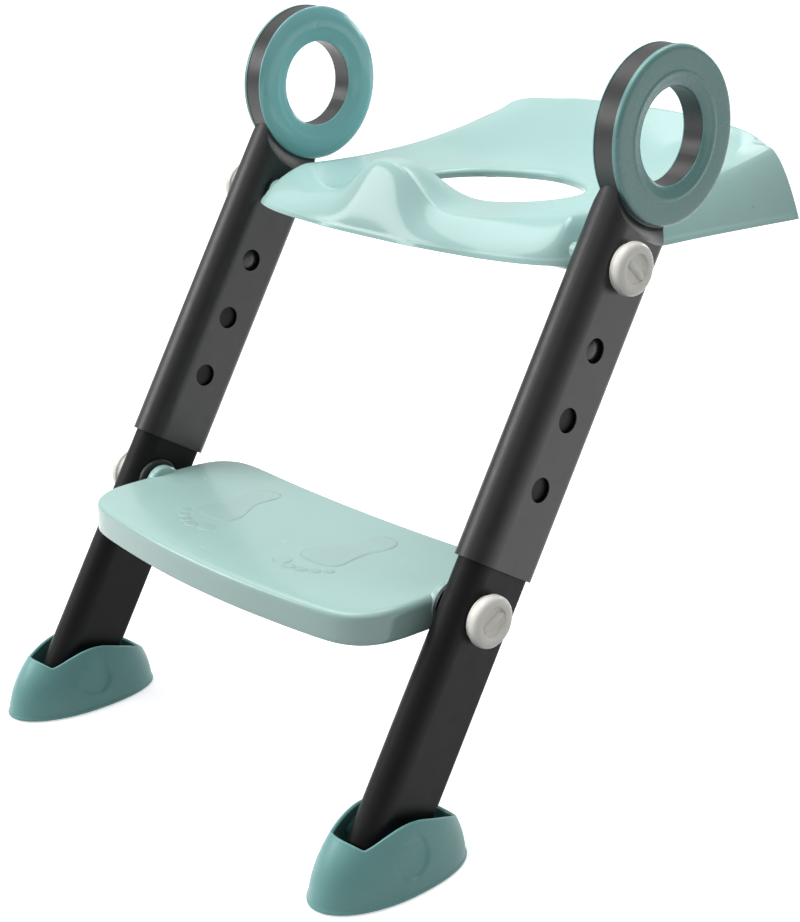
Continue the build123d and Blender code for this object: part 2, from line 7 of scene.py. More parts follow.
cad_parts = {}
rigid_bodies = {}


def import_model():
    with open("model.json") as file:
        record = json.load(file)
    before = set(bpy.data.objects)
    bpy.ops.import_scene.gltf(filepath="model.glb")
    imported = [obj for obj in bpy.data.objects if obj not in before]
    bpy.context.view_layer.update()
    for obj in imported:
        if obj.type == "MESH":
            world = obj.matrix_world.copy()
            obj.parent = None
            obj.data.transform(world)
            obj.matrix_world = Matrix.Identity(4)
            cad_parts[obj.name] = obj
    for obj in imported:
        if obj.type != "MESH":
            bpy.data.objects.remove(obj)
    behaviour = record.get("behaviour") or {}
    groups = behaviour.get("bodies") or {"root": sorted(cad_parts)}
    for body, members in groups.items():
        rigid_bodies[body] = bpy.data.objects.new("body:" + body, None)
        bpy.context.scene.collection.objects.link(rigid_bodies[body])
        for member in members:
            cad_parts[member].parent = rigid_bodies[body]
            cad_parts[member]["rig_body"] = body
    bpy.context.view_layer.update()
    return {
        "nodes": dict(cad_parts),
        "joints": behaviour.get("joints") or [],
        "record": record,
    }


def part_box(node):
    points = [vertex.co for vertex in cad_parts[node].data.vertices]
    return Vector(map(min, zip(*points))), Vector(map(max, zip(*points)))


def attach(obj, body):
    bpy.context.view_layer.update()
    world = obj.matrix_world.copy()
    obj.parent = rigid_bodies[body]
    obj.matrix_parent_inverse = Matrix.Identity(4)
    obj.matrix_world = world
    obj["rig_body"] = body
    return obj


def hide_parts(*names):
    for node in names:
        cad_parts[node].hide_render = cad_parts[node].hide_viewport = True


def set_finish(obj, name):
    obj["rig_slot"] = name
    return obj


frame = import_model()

MM = 0.001
nodes = frame["nodes"]
joints = {j["name"]: j for j in frame["joints"]}
scene = bpy.context.scene
scene.view_settings.view_transform = "Standard"
scene.view_settings.look = "None"

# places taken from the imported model, in millimetres
HINGE = np.array(joints["ladder_fold"]["pos_m"]) / MM
PIVOT = np.array(joints["step_tilt"]["pos_m"]) / MM
FOOT = np.array(joints["foot_rock_right"]["pos_m"]) / MM
SLIDE = -np.array(joints["leg_slide"]["axis"], float)          # up along the legs
SLIDE /= np.linalg.norm(SLIDE)
BACK = np.array([0.0, SLIDE[2], -SLIDE[1]])                     # square to the legs, to the back
LEG_X = FOOT[0]


def mm_box(node):
    lo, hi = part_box(node)
    return np.array(lo) / MM, np.array(hi) / MM


# ------------------------------------------------------------------
# mesh helpers: everything is worked out in millimetres
# ------------------------------------------------------------------
def make_object(name, verts, faces, smooth_angle=None):
    mesh = bpy.data.meshes.new(name)
    mesh.from_pydata([tuple(v) for v in np.asarray(verts) * MM], [], faces)
    mesh.validate()
    mesh.update()
    for p in mesh.polygons:
        p.use_smooth = True
    ob = bpy.data.objects.new(name, mesh)
    scene.collection.objects.link(ob)
    if smooth_angle is not None:
        mesh.set_sharp_from_angle(angle=math.radians(smooth_angle))
    return ob


def loft(rows, closed_rows=True, close_loop=False, cap_start=False, cap_end=False, flip=False, base=0):
    """Quads between successive rings of points. rows is (m, n, 3)."""
    rows = np.asarray(rows, float)
    m, n = rows.shape[0], rows.shape[1]
    verts = rows.reshape(-1, 3)
    faces = []
    mm = m if close_loop else m - 1
    nn = n if closed_rows else n - 1
    for i in range(mm):
        a, b = i * n, ((i + 1) % m) * n
        for j in range(nn):
            k = (j + 1) % n
            f = (a + j, a + k, b + k, b + j)
            faces.append(f[::-1] if flip else f)
    if cap_start:
        f = tuple(range(n))
        faces.append(f if flip else f[::-1])
    if cap_end:
        f = tuple((m - 1) * n + j for j in range(n))
        faces.append(f[::-1] if flip else f)
    return verts, [tuple(base + q for q in f) for f in faces]


class Heap:
    """Gathers several closed shells into one mesh."""
    def __init__(self):
        self.v, self.f, self.n = [], [], 0

    def add(self, verts, faces):
        self.v.append(np.asarray(verts, float))
        self.f += [tuple(self.n + q for q in f) for f in faces]
        self.n += len(verts)

    def build(self, name, smooth_angle=None):
        return make_object(name, np.vstack(self.v), self.f, smooth_angle)


def fix_normals(ob):
    import bmesh
    bm = bmesh.new()
    bm.from_mesh(ob.data)
    bmesh.ops.recalc_face_normals(bm, faces=bm.faces)
    bm.to_mesh(ob.data)
    bm.free()
    return ob


def lathe_x(profile, centre, n=96):
    """Closed ring of revolution about an axis along X. profile is a closed loop of (x, r)."""
    rows = []
    for x, r in profile:
        t = np.arange(n) * 2 * math.pi / n
        rows.append(np.stack([np.full(n, x), centre[1] + r * np.cos(t), centre[2] + r * np.sin(t)], 1))
    return loft(rows, close_loop=True)


def lathe_disc_x(profile, centre, n=96):
    """Solid of revolution about an axis along X whose profile runs from axis to axis."""
    verts, faces = [], []
    t = np.arange(n) * 2 * math.pi / n
    inner = profile[1:-1]
    for x, r in inner:
        verts += [(x, centre[1] + r * math.cos(a), centre[2] + r * math.sin(a)) for a in t]
    m = len(inner)
    for i in range(m - 1):
        for j in range(n):
            k = (j + 1) % n
            faces.append((i * n + j, i * n + k, (i + 1) * n + k, (i + 1) * n + j))
    a = len(verts)
    verts.append((profile[0][0], centre[1], centre[2]))
    verts.append((profile[-1][0], centre[1], centre[2]))
    for j in range(n):
        k = (j + 1) % n
        faces.append((a, k, j))
        faces.append((a + 1, (m - 1) * n + j, (m - 1) * n + k))
    return np.array(verts), faces


def smooth_profile(points, steps=6, closed=True):
    """Catmull-Rom through the given points, steps points per span."""
    pts = [np.array(p, float) for p in points]
    out = []
    m = len(pts)
    rng = range(m) if closed else range(m - 1)
    for i in rng:
        p0, p1, p2, p3 = pts[(i - 1) % m], pts[i], pts[(i + 1) % m], pts[(i + 2) % m]
        if not closed:
            p0 = pts[max(i - 1, 0)]
            p3 = pts[min(i + 2, m - 1)]
        for s in range(steps):
            t = s / steps
            q = 0.5 * ((2 * p1) + (-p0 + p2) * t + (2 * p0 - 5 * p1 + 4 * p2 - p3) * t * t + (-p0 + 3 * p1 - 3 * p2 + p3) * t ** 3)
            out.append(q)
    if not closed:
        out.append(pts[-1])
    return out


def round_polygon(points, radii, steps=5):
    """Closed polygon in 2-D with each corner rounded by its own radius."""
    out = []
    m = len(points)
    for i in range(m):
        p = np.array(points[i], float)
        a = np.array(points[i - 1], float)
        b = np.array(points[(i + 1) % m], float)
        r = radii[i] if hasattr(radii, "__len__") else radii
        da, db = a - p, b - p
        la, lb = np.linalg.norm(da), np.linalg.norm(db)
        if r <= 0 or la == 0 or lb == 0:
            out.append(p)
            continue
        da, db = da / la, db / lb
        ang = math.acos(max(-1.0, min(1.0, float(da @ db))))
        if ang > math.pi - 0.02:
            out.append(p)
            continue
        d = min(r / math.tan(ang / 2), 0.48 * la, 0.48 * lb)
        rr = d * math.tan(ang / 2)
        s, e = p + da * d, p + db * d
        c = p + (da + db) / np.linalg.norm(da + db) * (rr / math.sin(ang / 2))
        a0 = math.atan2(*(s - c)[::-1])
        a1 = math.atan2(*(e - c)[::-1])
        while a1 - a0 > math.pi:
            a1 -= 2 * math.pi
        while a1 - a0 < -math.pi:
            a1 += 2 * math.pi
        for k in range(steps + 1):
            t = a0 + (a1 - a0) * k / steps
            out.append(c + rr * np.array([math.cos(t), math.sin(t)]))
    return out


# ------------------------------------------------------------------
# seat: one hollow moulded shell
# ------------------------------------------------------------------
SEAT_LO, SEAT_HI = mm_box("seat_shell")
SEAT_SHIFT = 242.0
RIM = 353.0
REAR = SEAT_HI[1] + SEAT_SHIFT - 0.05
C0 = 326.0          # the middle of the opening, in the shifted Y


def seat_front(x):
    a = np.minimum(np.abs(x), 152.0) / 148.0
    return 203.0 + 27.0 * a ** 3


def seat_half(y):
    w = 150.2 - 13.0 * np.exp(-(np.maximum(y, 205.0) - 223.0) / 9.0)
    return w + np.where(y > 360.0, 5.8 * (np.maximum(y - 360.0, 0.0) / 110.0) ** 1.3, 0.0)


def smoothstep(a, b, t):
    u = np.clip((t - a) / (b - a), 0.0, 1.0)
    return u * u * (3 - 2 * u)


def seat_top(x, y):
    ax = np.abs(x)
    side = 5.0 + 24.0 * (np.maximum(0.0, y - 280.0) / 190.0) ** 1.9
    t = np.maximum(0.0, ax - 60.0) / 67.0
    z = 374.0 + side * np.where(t < 1.0, t ** 2, 1.0 + 1.2 * (t - 1.0))
    rear = np.maximum(0.0, y - 385.0) / 85.0
    z = z + 46.3 * np.maximum(0.0, 1.0 - (np.minimum(ax, 127.0) / 127.0) ** 4.2) * np.where(rear < 1.0, rear ** 1.5, 1.0 + 0.6 * (rear - 1.0))
    z = z + 27.0 * np.exp(-(ax / 35.0) ** 2.8) * np.exp(-(np.abs(y - 229.0) / 33.0) ** 2.6)
    return z


def seat_edge(x, y, t):
    """0 on the top surface, 1 on the lower edge of the shell; t draws the outline in."""
    ax = np.abs(x)
    wf = 20.0 + 25.0 * smoothstep(50.0, 135.0, ax)
    ws = 20.0 + 8.0 * np.clip((y - 240.0) / 230.0, 0.0, 1.0)
    wr = 7.0
    ef = np.maximum(0.0, 1.0 - (y - seat_front(x) - t) / wf)
    q = 1.0 - (seat_half(y) - t - ax) / ws
    es = 0.5 * (q + np.sqrt(q * q + 0.016)) / 1.004
    er = np.maximum(0.0, 1.0 - (REAR - t - y) / wr)
    er = (1.0 - np.maximum(0.0, 1.0 - np.minimum(er, 1.0) ** 3) ** (1.0 / 3.0)) ** (1.0 / 1.15) + np.maximum(0.0, er - 1.0) * 4.0
    efc = np.minimum(ef, 1.0)
    front = (0.86 * efc ** 1.4 + 0.14 * efc ** 9) ** (1.0 / 1.15) + np.maximum(0.0, ef - 1.0) * 4.0
    p = 5.0
    return (front ** p + es ** p + er ** p) ** (1.0 / p)


def seat_z(x, y, t, e=None):
    if e is None:
        e = seat_edge(x, y, t)
    return RIM + (seat_top(x, y) - t - RIM) * np.maximum(0.0, 1.0 - np.minimum(e, 1.0) ** 1.15)


def ray(phi, r):
    return r * np.sin(phi), C0 - r * np.cos(phi)


def radius_at(phi, level, t):
    lo = np.full(len(phi), 60.0)
    hi = np.full(len(phi), 260.0)
    for _ in range(40):
        mid = 0.5 * (lo + hi)
        x, y = ray(phi, mid)
        inside = seat_edge(x, y, t) < level
        lo = np.where(inside, mid, lo)
        hi = np.where(inside, hi, mid)
    return 0.5 * (lo + hi)


def ellipse_radius(phi, a, b, yc):
    lo = np.full(len(phi), 20.0)
    hi = np.full(len(phi), 120.0)
    for _ in range(40):
        mid = 0.5 * (lo + hi)
        x, y = ray(phi, mid)
        inside = (x / a) ** 2 + ((y - yc) / b) ** 2 < 1.0
        lo = np.where(inside, mid, lo)
        hi = np.where(inside, hi, mid)
    return 0.5 * (lo + hi)


def seat_angles(n):
    """Ray angles, closer together where the outline turns at the back corners."""
    fine = np.linspace(0, 2 * math.pi, 8001)
    x, y = ray(fine, radius_at(fine, 1.0, 0.0))
    step = np.hypot(np.diff(x), np.diff(y))
    mids = 0.5 * (fine[1:] + fine[:-1])
    corner = math.atan2(144.0, C0 - REAR) % (2 * math.pi)
    weight = 0.50 * step / step.sum() + 0.26 * np.full(len(step), 1.0 / len(step))
    for c in (corner, 2 * math.pi - corner):
        w = np.exp(-((mids - c) / math.radians(2.6)) ** 4)
        weight = weight + 0.12 * w / w.sum()
    total = np.concatenate([[0], np.cumsum(weight)])
    return np.interp(np.arange(n) / n, total / total[-1], fine)


def seat_rows(phi):
    n = len(phi)
    edge = ellipse_radius(phi, 64.0, 61.0, 327.0)
    crest = ellipse_radius(phi, 73.0, 70.0, 325.0)
    rows = []

    def point(r, z):
        x, y = ray(phi, r)
        return np.stack([x, y - SEAT_SHIFT, z], 1)

    ex, ey = ray(phi, edge)
    near_hump = np.exp(-(ex / 26.0) ** 2) * (ey < C0)
    lip = seat_top(ex, ey) - 6.0 + 3.0 * near_hump
    # inner wall of the opening, from its foot to the lip
    # the wall is lowest at the back of the opening
    low = 1.0 - 0.46 * smoothstep(C0 - 50.0, C0 + 10.0, ey)
    lip = lip + 1.8 * smoothstep(C0 - 50.0, C0 + 10.0, ey)
    for k, dz in enumerate((-5.2, -5.0, -3.4, -1.8, 0.0)):
        rows.append(point(edge + (0.35 if k == 0 else 0.0), lip + dz * low))
    # rolled rim
    for k in range(1, 13):
        al = math.radians(90.0 * k / 12)
        r = edge + (crest - edge) * (1 - math.cos(al))
        x, y = ray(phi, r)
        rows.append(point(r, lip + (seat_top(x, y) - lip) * math.sin(al)))
    # upper surface out to the shoulder
    wall = radius_at(phi, 0.012, 0.0)
    for k in range(1, 57):
        f = k / 56.0
        r = crest + (wall - crest) * f
        x, y = ray(phi, r)
        rows.append(point(r, seat_z(x, y, 0.0)))
    # shoulder and outer wall down to the lower edge
    for k in range(1, 47):
        s = k / 46.0
        level = 0.012 + (1.0 - 0.012) * (s ** 0.9)
        r = radius_at(phi, level, 0.0)
        x, y = ray(phi, r)
        z = seat_z(x, y, 0.0, np.full(n, level))
        bead = smoothstep(RIM + 4.2, RIM + 2.6, z) * 0.35 * smoothstep(470.0, 455.0, y)
        rows.append(point(r + bead, np.maximum(z, RIM + 0.7 if k < 46 else RIM)))
    rows.append(point(radius_at(phi, 1.0, 0.7), np.full(n, RIM)))
    # underside: the shell is 3 mm thick
    t = 3.0
    outs = radius_at(phi, 1.0, t)
    rows.append(point(outs, np.full(n, RIM)))
    for k in range(22, -1, -1):
        level = 0.02 + 0.98 * (k / 23.0)
        r = radius_at(phi, level, t)
        x, y = ray(phi, r)
        rows.append(point(r, seat_z(x, y, t, np.full(n, level))))
    wall_t = radius_at(phi, 0.02, t)
    for k in range(19, -1, -1):
        f = k / 20.0
        r = (edge + 3.2) + (wall_t - edge - 3.2) * f
        x, y = ray(phi, r)
        top = seat_z(x, y, t)
        if k == 0:
            top = np.minimum(top, lip + 1.0)
        rows.append(point(r, np.minimum(top, seat_top(x, y) - t)))
    rows.append(point(edge + 3.0, lip - 4.6 * low))
    rows.append(point(edge + 2.6, lip - 5.3 * low))
    return rows


phi = seat_angles(560)
heap = Heap()
heap.add(*loft(seat_rows(phi), close_loop=True))


def under_strip(path, half, bottom, grow=1.2):
    """Thin upright rib below the shell; its top follows the shell's underside."""
    path = np.asarray(path, float)
    d = np.gradient(path, axis=0)
    d /= np.linalg.norm(d, axis=1)[:, None]
    nrm = np.stack([-d[:, 1], d[:, 0]], 1) * half
    ring = []
    z = seat_z(path[:, 0], path[:, 1], 3.0) + grow
    z = np.maximum(z, bottom + 0.6)
    for p, q, top in zip(path, nrm, z):
        a, b = p + q * 0.75, p - q * 0.75
        a2, b2 = p + q, p - q
        ring.append([(a[0], a[1] - SEAT_SHIFT, bottom), (b[0], b[1] - SEAT_SHIFT, bottom),
                     (b2[0], b2[1] - SEAT_SHIFT, top), (a2[0], a2[1] - SEAT_SHIFT, top)])
    return loft(np.array(ring), cap_start=True, cap_end=True)


for sx in (1, -1):
    ys = np.linspace(232.0, 466.0, 60)
    heap.add(*under_strip([(sx * 78.0, y) for y in ys], 1.2, 365.5))
for yc in (266.0, 428.0):
    for sx in (1, -1):
        x0 = 40.0 if yc < 300 else 0.0
        xs = np.linspace(x0, seat_half(yc) - 6.0, 40) * sx
        if yc < 300:
            heap.add(*under_strip([(x, yc) for x in xs], 1.2, 365.5))
        elif sx == 1:
            xs = np.linspace(-(seat_half(yc) - 6.0), seat_half(yc) - 6.0, 80)
            heap.add(*under_strip([(x, yc) for x in xs], 1.2, 365.5))

pads = mm_box("seat_pads")
pad_mesh = np.array([v.co for v in nodes["seat_pads"].data.vertices]) / MM
spots = []
for sx in (1, -1):
    for front in (True, False):
        mid = 0.5 * (pads[0][1] + pads[1][1])
        sel = pad_mesh[(pad_mesh[:, 0] * sx > 0) & ((pad_mesh[:, 1] < mid) == front)]
        spots.append(0.5 * (sel.min(0) + sel.max(0)))
for c in spots:
    n = 40
    rows = []
    ang = np.arange(n) * 2 * math.pi / n
    px, py = c[0] + 9.0 * np.cos(ang), c[1] + 9.0 * np.sin(ang)
    zt = seat_z(px, py + SEAT_SHIFT, 3.0) + 0.9
    for r, z in ((8.2, pads[1][2] - 0.02), (8.8, pads[1][2] - 0.02), (9.0, pads[1][2] + 0.3), (9.0, zt - 3.0), (9.0, zt)):
        rows.append(np.stack([c[0] + r * np.cos(ang), c[1] + r * np.sin(ang), np.broadcast_to(z, ang.shape)], 1))
    for f in (0.66, 0.33, 0.08):
        qx, qy = c[0] + 9.0 * f * np.cos(ang), c[1] + 9.0 * f * np.sin(ang)
        rows.append(np.stack([qx, qy, seat_z(qx, qy + SEAT_SHIFT, 3.0) + 0.9], 1))
    heap.add(*loft(rows, cap_start=True, cap_end=True))

boss_end = mm_box("seat_shell")[1][0]
for sx in (1, -1):
    x0, x1 = 122.0, 150.0
    prof = round_polygon([(x0, 5.0), (x0, 9.2), (x1, 9.2), (x1, 5.0)], [0.3, 0.8, 0.8, 0.5], 3)
    heap.add(*lathe_x([(sx * p[0], p[1]) for p in prof], HINGE, 64))
    # webs that tie the boss to the shell
    for ya in (-5.5, 5.5):
        yy = HINGE[1] + SEAT_SHIFT + ya
        xs = np.linspace(96.0, 138.0, 20) * sx
        heap.add(*under_strip([(x, yy) for x in xs], 1.1, 351.5))
seat_ob = fix_normals(heap.build("seat_moulding", 50))
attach(seat_ob, "seat")
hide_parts("seat_shell")
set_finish(seat_ob, "mint_plastic")


# ------------------------------------------------------------------
# step board: a tray-like moulding with a rounded top edge, ribs under it
# ------------------------------------------------------------------
STEP_LO, STEP_HI = mm_box("step_board")
TREAD = 164.0
STEP_HX = 147.0
STEP_BOT = STEP_LO[2] if STEP_LO[2] > 140 else 144.0
STEP_HALF = [(0, -186.8), (24, -186.4), (47, -185.2), (72, -182.9), (97, -179.9), (118, -176.4), (130.5, -172.0),
             (139.5, -164.8), (145.4, -154.2), (148.0, -140.0), (148.6, -122.0), (149.2, -104.0), (149.8, -86.0),
             (149.4, -70.0), (146.6, -57.8), (140.2, -48.8), (130.0, -43.4), (115, -41.6), (94, -42.6), (66, -44.3),
             (33, -45.4), (0, -45.8)]
STEP_C = np.array([0.0, -116.0])
NS = 420


def even_loop(points, n):
    """Closed smooth curve through the points, as n evenly spaced points and their outward normals."""
    dense = np.array(smooth_profile(points, 24))
    nxt = np.roll(dense, -1, axis=0)
    length = np.concatenate([[0], np.cumsum(np.linalg.norm(nxt - dense, axis=1))])
    ring = np.vstack([dense, dense[:1]])
    u = np.arange(n) / n * length[-1]
    out = np.stack([np.interp(u, length, ring[:, 0]), np.interp(u, length, ring[:, 1])], 1)
    t = np.roll(out, -1, axis=0) - np.roll(out, 1, axis=0)
    for _ in range(6):
        t = 0.25 * np.roll(t, 1, axis=0) + 0.5 * t + 0.25 * np.roll(t, -1, axis=0)
    t /= np.linalg.norm(t, axis=1)[:, None]
    return out, np.stack([t[:, 1], -t[:, 0]], 1)


STEP_P, STEP_N = even_loop(STEP_HALF + [(-x, y) for x, y in STEP_HALF[-2:0:-1]], NS)


def step_front(x):
    a = np.abs(x) / 118.0
    return -186.8 + 8.6 * a ** 2 + 1.8 * a ** 6


def step_back(x):
    a = np.abs(x) / 115.0
    return -45.8 + 4.2 * a ** 2


def tread_z(x, y):
    """The tread is slightly dished and rolls over gently towards its front edge."""
    df = y - step_front(x)
    d = np.clip(np.minimum(np.minimum(150.0 - np.abs(x), step_back(x) - y), df) / 22.0, 0.0, 1.0)
    roll = np.clip((27.0 - df) / 27.0, 0.0, 1.0)
    return TREAD - 0.1 - 0.5 * d * d * (3 - 2 * d) - 1.5 * roll ** 2.2


def step_ring(inset, z):
    q = STEP_P - STEP_N * inset
    return np.stack([q[:, 0], q[:, 1], np.broadcast_to(z, q[:, 0].shape)], 1)


heap = Heap()
rows = []
FIL = 4.6
top_in = STEP_P - STEP_N * FIL
for k in range(1, 49):
    f = 1 - (1 - k / 48.0) ** 1.15
    q = STEP_C + (top_in - STEP_C) * f
    rows.append(np.stack([q[:, 0], q[:, 1], tread_z(q[:, 0], q[:, 1])], 1))
zt = tread_z(top_in[:, 0], top_in[:, 1])
for k in range(1, 13):
    al = math.radians(90 * k / 12)
    rows.append(step_ring(FIL * (1 - math.sin(al)), zt - (zt - (TREAD - FIL - 0.6)) * (1 - math.cos(al))))
for k in range(1, 9):
    z = TREAD - FIL - 0.6 - (TREAD - FIL - 0.6 - STEP_BOT - 0.8) * k / 8.0
    rows.append(step_ring(0.35 * k / 8.0, z))
rows.append(step_ring(0.35 + 0.3, STEP_BOT + 0.2))
rows.append(step_ring(0.35 + 0.8, STEP_BOT))
rows.append(step_ring(2.6, STEP_BOT))
rows.append(step_ring(3.0, STEP_BOT + 0.4))
for k in range(1, 6):
    rows.append(step_ring(3.0 + 0.1 * k, STEP_BOT + 0.4 + (TREAD - 3.4 - STEP_BOT - 2.4) * k / 5.0))
rows.append(step_ring(4.1, TREAD - 4.4))
low_in = STEP_P - STEP_N * 5.4
for k in range(12, 0, -1):
    q = STEP_C + (low_in - STEP_C) * k / 12.0
    rows.append(np.stack([q[:, 0], q[:, 1], tread_z(q[:, 0], q[:, 1]) - 2.7], 1))
v, f = loft(rows)
n0 = len(v)
zc = float(tread_z(STEP_C[0], STEP_C[1]))
v = np.vstack([v, [[STEP_C[0], STEP_C[1], zc]], [[STEP_C[0], STEP_C[1], zc - 2.7]]])
for j in range(NS):
    k = (j + 1) % NS
    f.append((n0, k, j))
    last = (len(rows) - 1) * NS
    f.append((n0 + 1, last + j, last + k))
heap.add(v, f)
# ribs
def box_strip(a, b, half, z0, z1):
    a, b = np.array(a, float), np.array(b, float)
    d = (b - a) / np.linalg.norm(b - a)
    q = np.array([-d[1], d[0]]) * half
    ring = []
    for s in np.linspace(0, 1, 9):
        p = a + (b - a) * s
        m, l = p + q * 0.8, p - q * 0.8
        m2, l2 = p + q, p - q
        ring.append([(m[0], m[1], z0), (l[0], l[1], z0), (l2[0], l2[1], z1), (m2[0], m2[1], z1)])
    return loft(np.array(ring), cap_start=True, cap_end=True)


for i in range(-3, 4):
    x = 42.0 * i
    heap.add(*box_strip((x, float(step_front(x)) + 2.4), (x, float(step_back(x)) - 2.4), 1.1, STEP_BOT + 1.2, TREAD - 2.6))
for y in (-147.0, -80.0):
    heap.add(*box_strip((-145.6, y), (145.6, y), 1.1, STEP_BOT + 1.2, TREAD - 2.6))
# hinge barrels and the ears beside the legs
ear_end = STEP_HI[0]
for sx in (1, -1):
    prof = round_polygon([(118.0, 5.0), (118.0, 7.3), (STEP_HX - 3.5, 7.3), (STEP_HX - 3.5, 13.4), (ear_end, 13.4), (ear_end, 5.0)],
                         [0.4, 0.8, 1.5, 2.2, 2.6, 0.6], 5)
    heap.add(*lathe_x([(sx * p[0], p[1]) for p in prof], PIVOT, 80))
# bare footprints in low relief: a sole and five toes each
def relief_pad(outline, z0, height, skirt=1.3):
    """Low pad with a soft edge over a closed plan outline."""
    outline = np.asarray(outline, float)
    c = outline.mean(0)
    rows = []
    for inset, dz in ((-0.25, -0.35), (0.0, 0.05), (0.3, 0.45), (0.75, 0.8), (1.4, 0.97), (2.2, 1.0)):
        d = outline - c
        l = np.linalg.norm(d, axis=1)[:, None]
        p = c + d * (1 - np.minimum(inset * skirt / 1.3 / l, 0.6))
        rows.append(np.stack([p[:, 0], p[:, 1], z0(p[:, 0], p[:, 1]) + np.maximum(dz, -0.3) * height], 1))
    for f in (0.72, 0.45, 0.2):
        d = outline - c
        p = c + d * f * 0.86
        rows.append(np.stack([p[:, 0], p[:, 1], z0(p[:, 0], p[:, 1]) + height * (1.0 + 0.05 * (1 - f))], 1))
    v, fc = loft(rows)
    v = np.vstack([v, [[c[0], c[1], float(z0(c[0], c[1])) + height * 1.05]], [[c[0], c[1], float(z0(c[0], c[1])) - 0.3 * height]]])
    n = len(outline)
    a = len(v) - 2
    last = (len(rows) - 1) * n
    for j in range(n):
        k = (j + 1) % n
        fc.append((a, last + k, last + j))
        fc.append((a + 1, j, k))
    return v, fc


def foot_outline(cx, cy, side, turn):
    """Sole of a small bare foot, toes to the front (-Y); side is +1 for the right foot."""
    ctrl = [(0.0, 43.0), (7.5, 41.0), (11.6, 33.5), (12.0, 22.0), (11.6, 8.0), (13.6, -6.0), (16.2, -18.0), (14.2, -27.0), (6.0, -31.5),
            (-3.0, -33.0), (-12.0, -31.5), (-16.6, -24.0), (-16.0, -13.0), (-11.0, 0.0), (-7.6, 11.0), (-8.0, 24.0), (-9.2, 34.0), (-6.4, 41.0)]
    pts = smooth_profile(ctrl, 8)
    c, s = math.cos(turn), math.sin(turn)
    out = []
    for p in pts:
        x, y = p[0] * side * 1.1, p[1] * 0.87
        out.append((cx + c * x - s * y, cy + s * x + c * y))
    return out if side > 0 else out[::-1]


for side, cx, cy, turn in ((1, 57.0, -105.5, math.radians(-6)), (-1, -57.0, -105.5, math.radians(6))):
    heap.add(*relief_pad(foot_outline(cx, cy, side, turn), tread_z, 0.42, 2.2))
    for (qx, qy, rx, ry) in ((40.0, -145.6, 6.8, 6.4), (51.4, -149.6, 4.9, 4.7), (60.6, -147.2, 4.4, 4.4), (68.6, -142.4, 4.0, 4.1), (75.4, -136.0, 3.5, 3.7)):
        ang = np.arange(36) * 2 * math.pi / 36
        heap.add(*relief_pad(np.stack([side * qx + rx * np.cos(ang), qy + ry * np.sin(ang)], 1), tread_z, 0.42, 1.5))
step_ob = fix_normals(heap.build("step_moulding", 50))
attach(step_ob, "step")
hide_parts("step_board")
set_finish(step_ob, "step_plastic")


# ------------------------------------------------------------------
# boots: boat-shaped shoes with a saddle-shaped mouth
# ------------------------------------------------------------------
def mirror_x(v, f):
    v = np.array(v, float)
    v[:, 0] *= -1
    return v, [q[::-1] for q in f]


MOUTH_Y = np.array([-232.0, -222.0, -212.5, -208.0, -203.4, -198.0, -192.0, -186.0, -181.0, -175.0, -169.5, -163.0, -158.0, -152.0, -146.0,
                    -138.0, -130.0, -125.0, -120.0, -110.0])
MOUTH_Z = np.array([48.2, 45.6, 42.2, 39.8, 36.6, 38.8, 41.2, 43.0, 44.3, 45.1, 45.2, 44.5, 43.3, 41.4, 39.4, 36.5, 33.0, 30.1, 27.0, 20.0])


def mouth(y):
    # a smooth curve through the points, by cubic convolution on a fine linear table
    yy = np.linspace(MOUTH_Y[0] - 8, MOUTH_Y[-1] + 8, 1100)
    zz = np.interp(yy, MOUTH_Y, MOUTH_Z)
    k = np.hanning(27)
    k /= k.sum()
    zs = np.convolve(np.pad(zz, 13, mode="edge"), k, mode="valid")
    return np.interp(y, yy, zs)


BOOT_Z = np.array([3.4, 14.0, 26.0, 38.0, 52.0])
BOOT_FIT = [np.polyfit(BOOT_Z - 26.0, np.array(q), 4) for q in
            ((29.8, 29.0, 26.8, 23.4, 18.4), (-228.2, -225.6, -220.2, -211.5, -199.0), (-112.0, -114.0, -118.6, -126.5, -138.5))]


def boot_outline(inset, z, ang):
    """Plan of the boot at height z, drawn in by inset."""
    z = np.maximum(z, 3.4)
    hw, y0, y1 = [np.polyval(c, z - 26.0) for c in BOOT_FIT]
    hw, y0, y1 = hw - inset, y0 + inset, y1 - inset
    ym = y0 + 0.49 * (y1 - y0)
    c, d = np.cos(ang), np.sin(ang)
    n = np.where(d < 0, 2.0 / 2.05, 2.0 / 2.4)
    x = hw * np.abs(c) ** n * np.sign(c)
    y = np.where(d < 0, y0 - ym, y1 - ym) * np.abs(d) ** n
    return LEG_X + x, ym + y


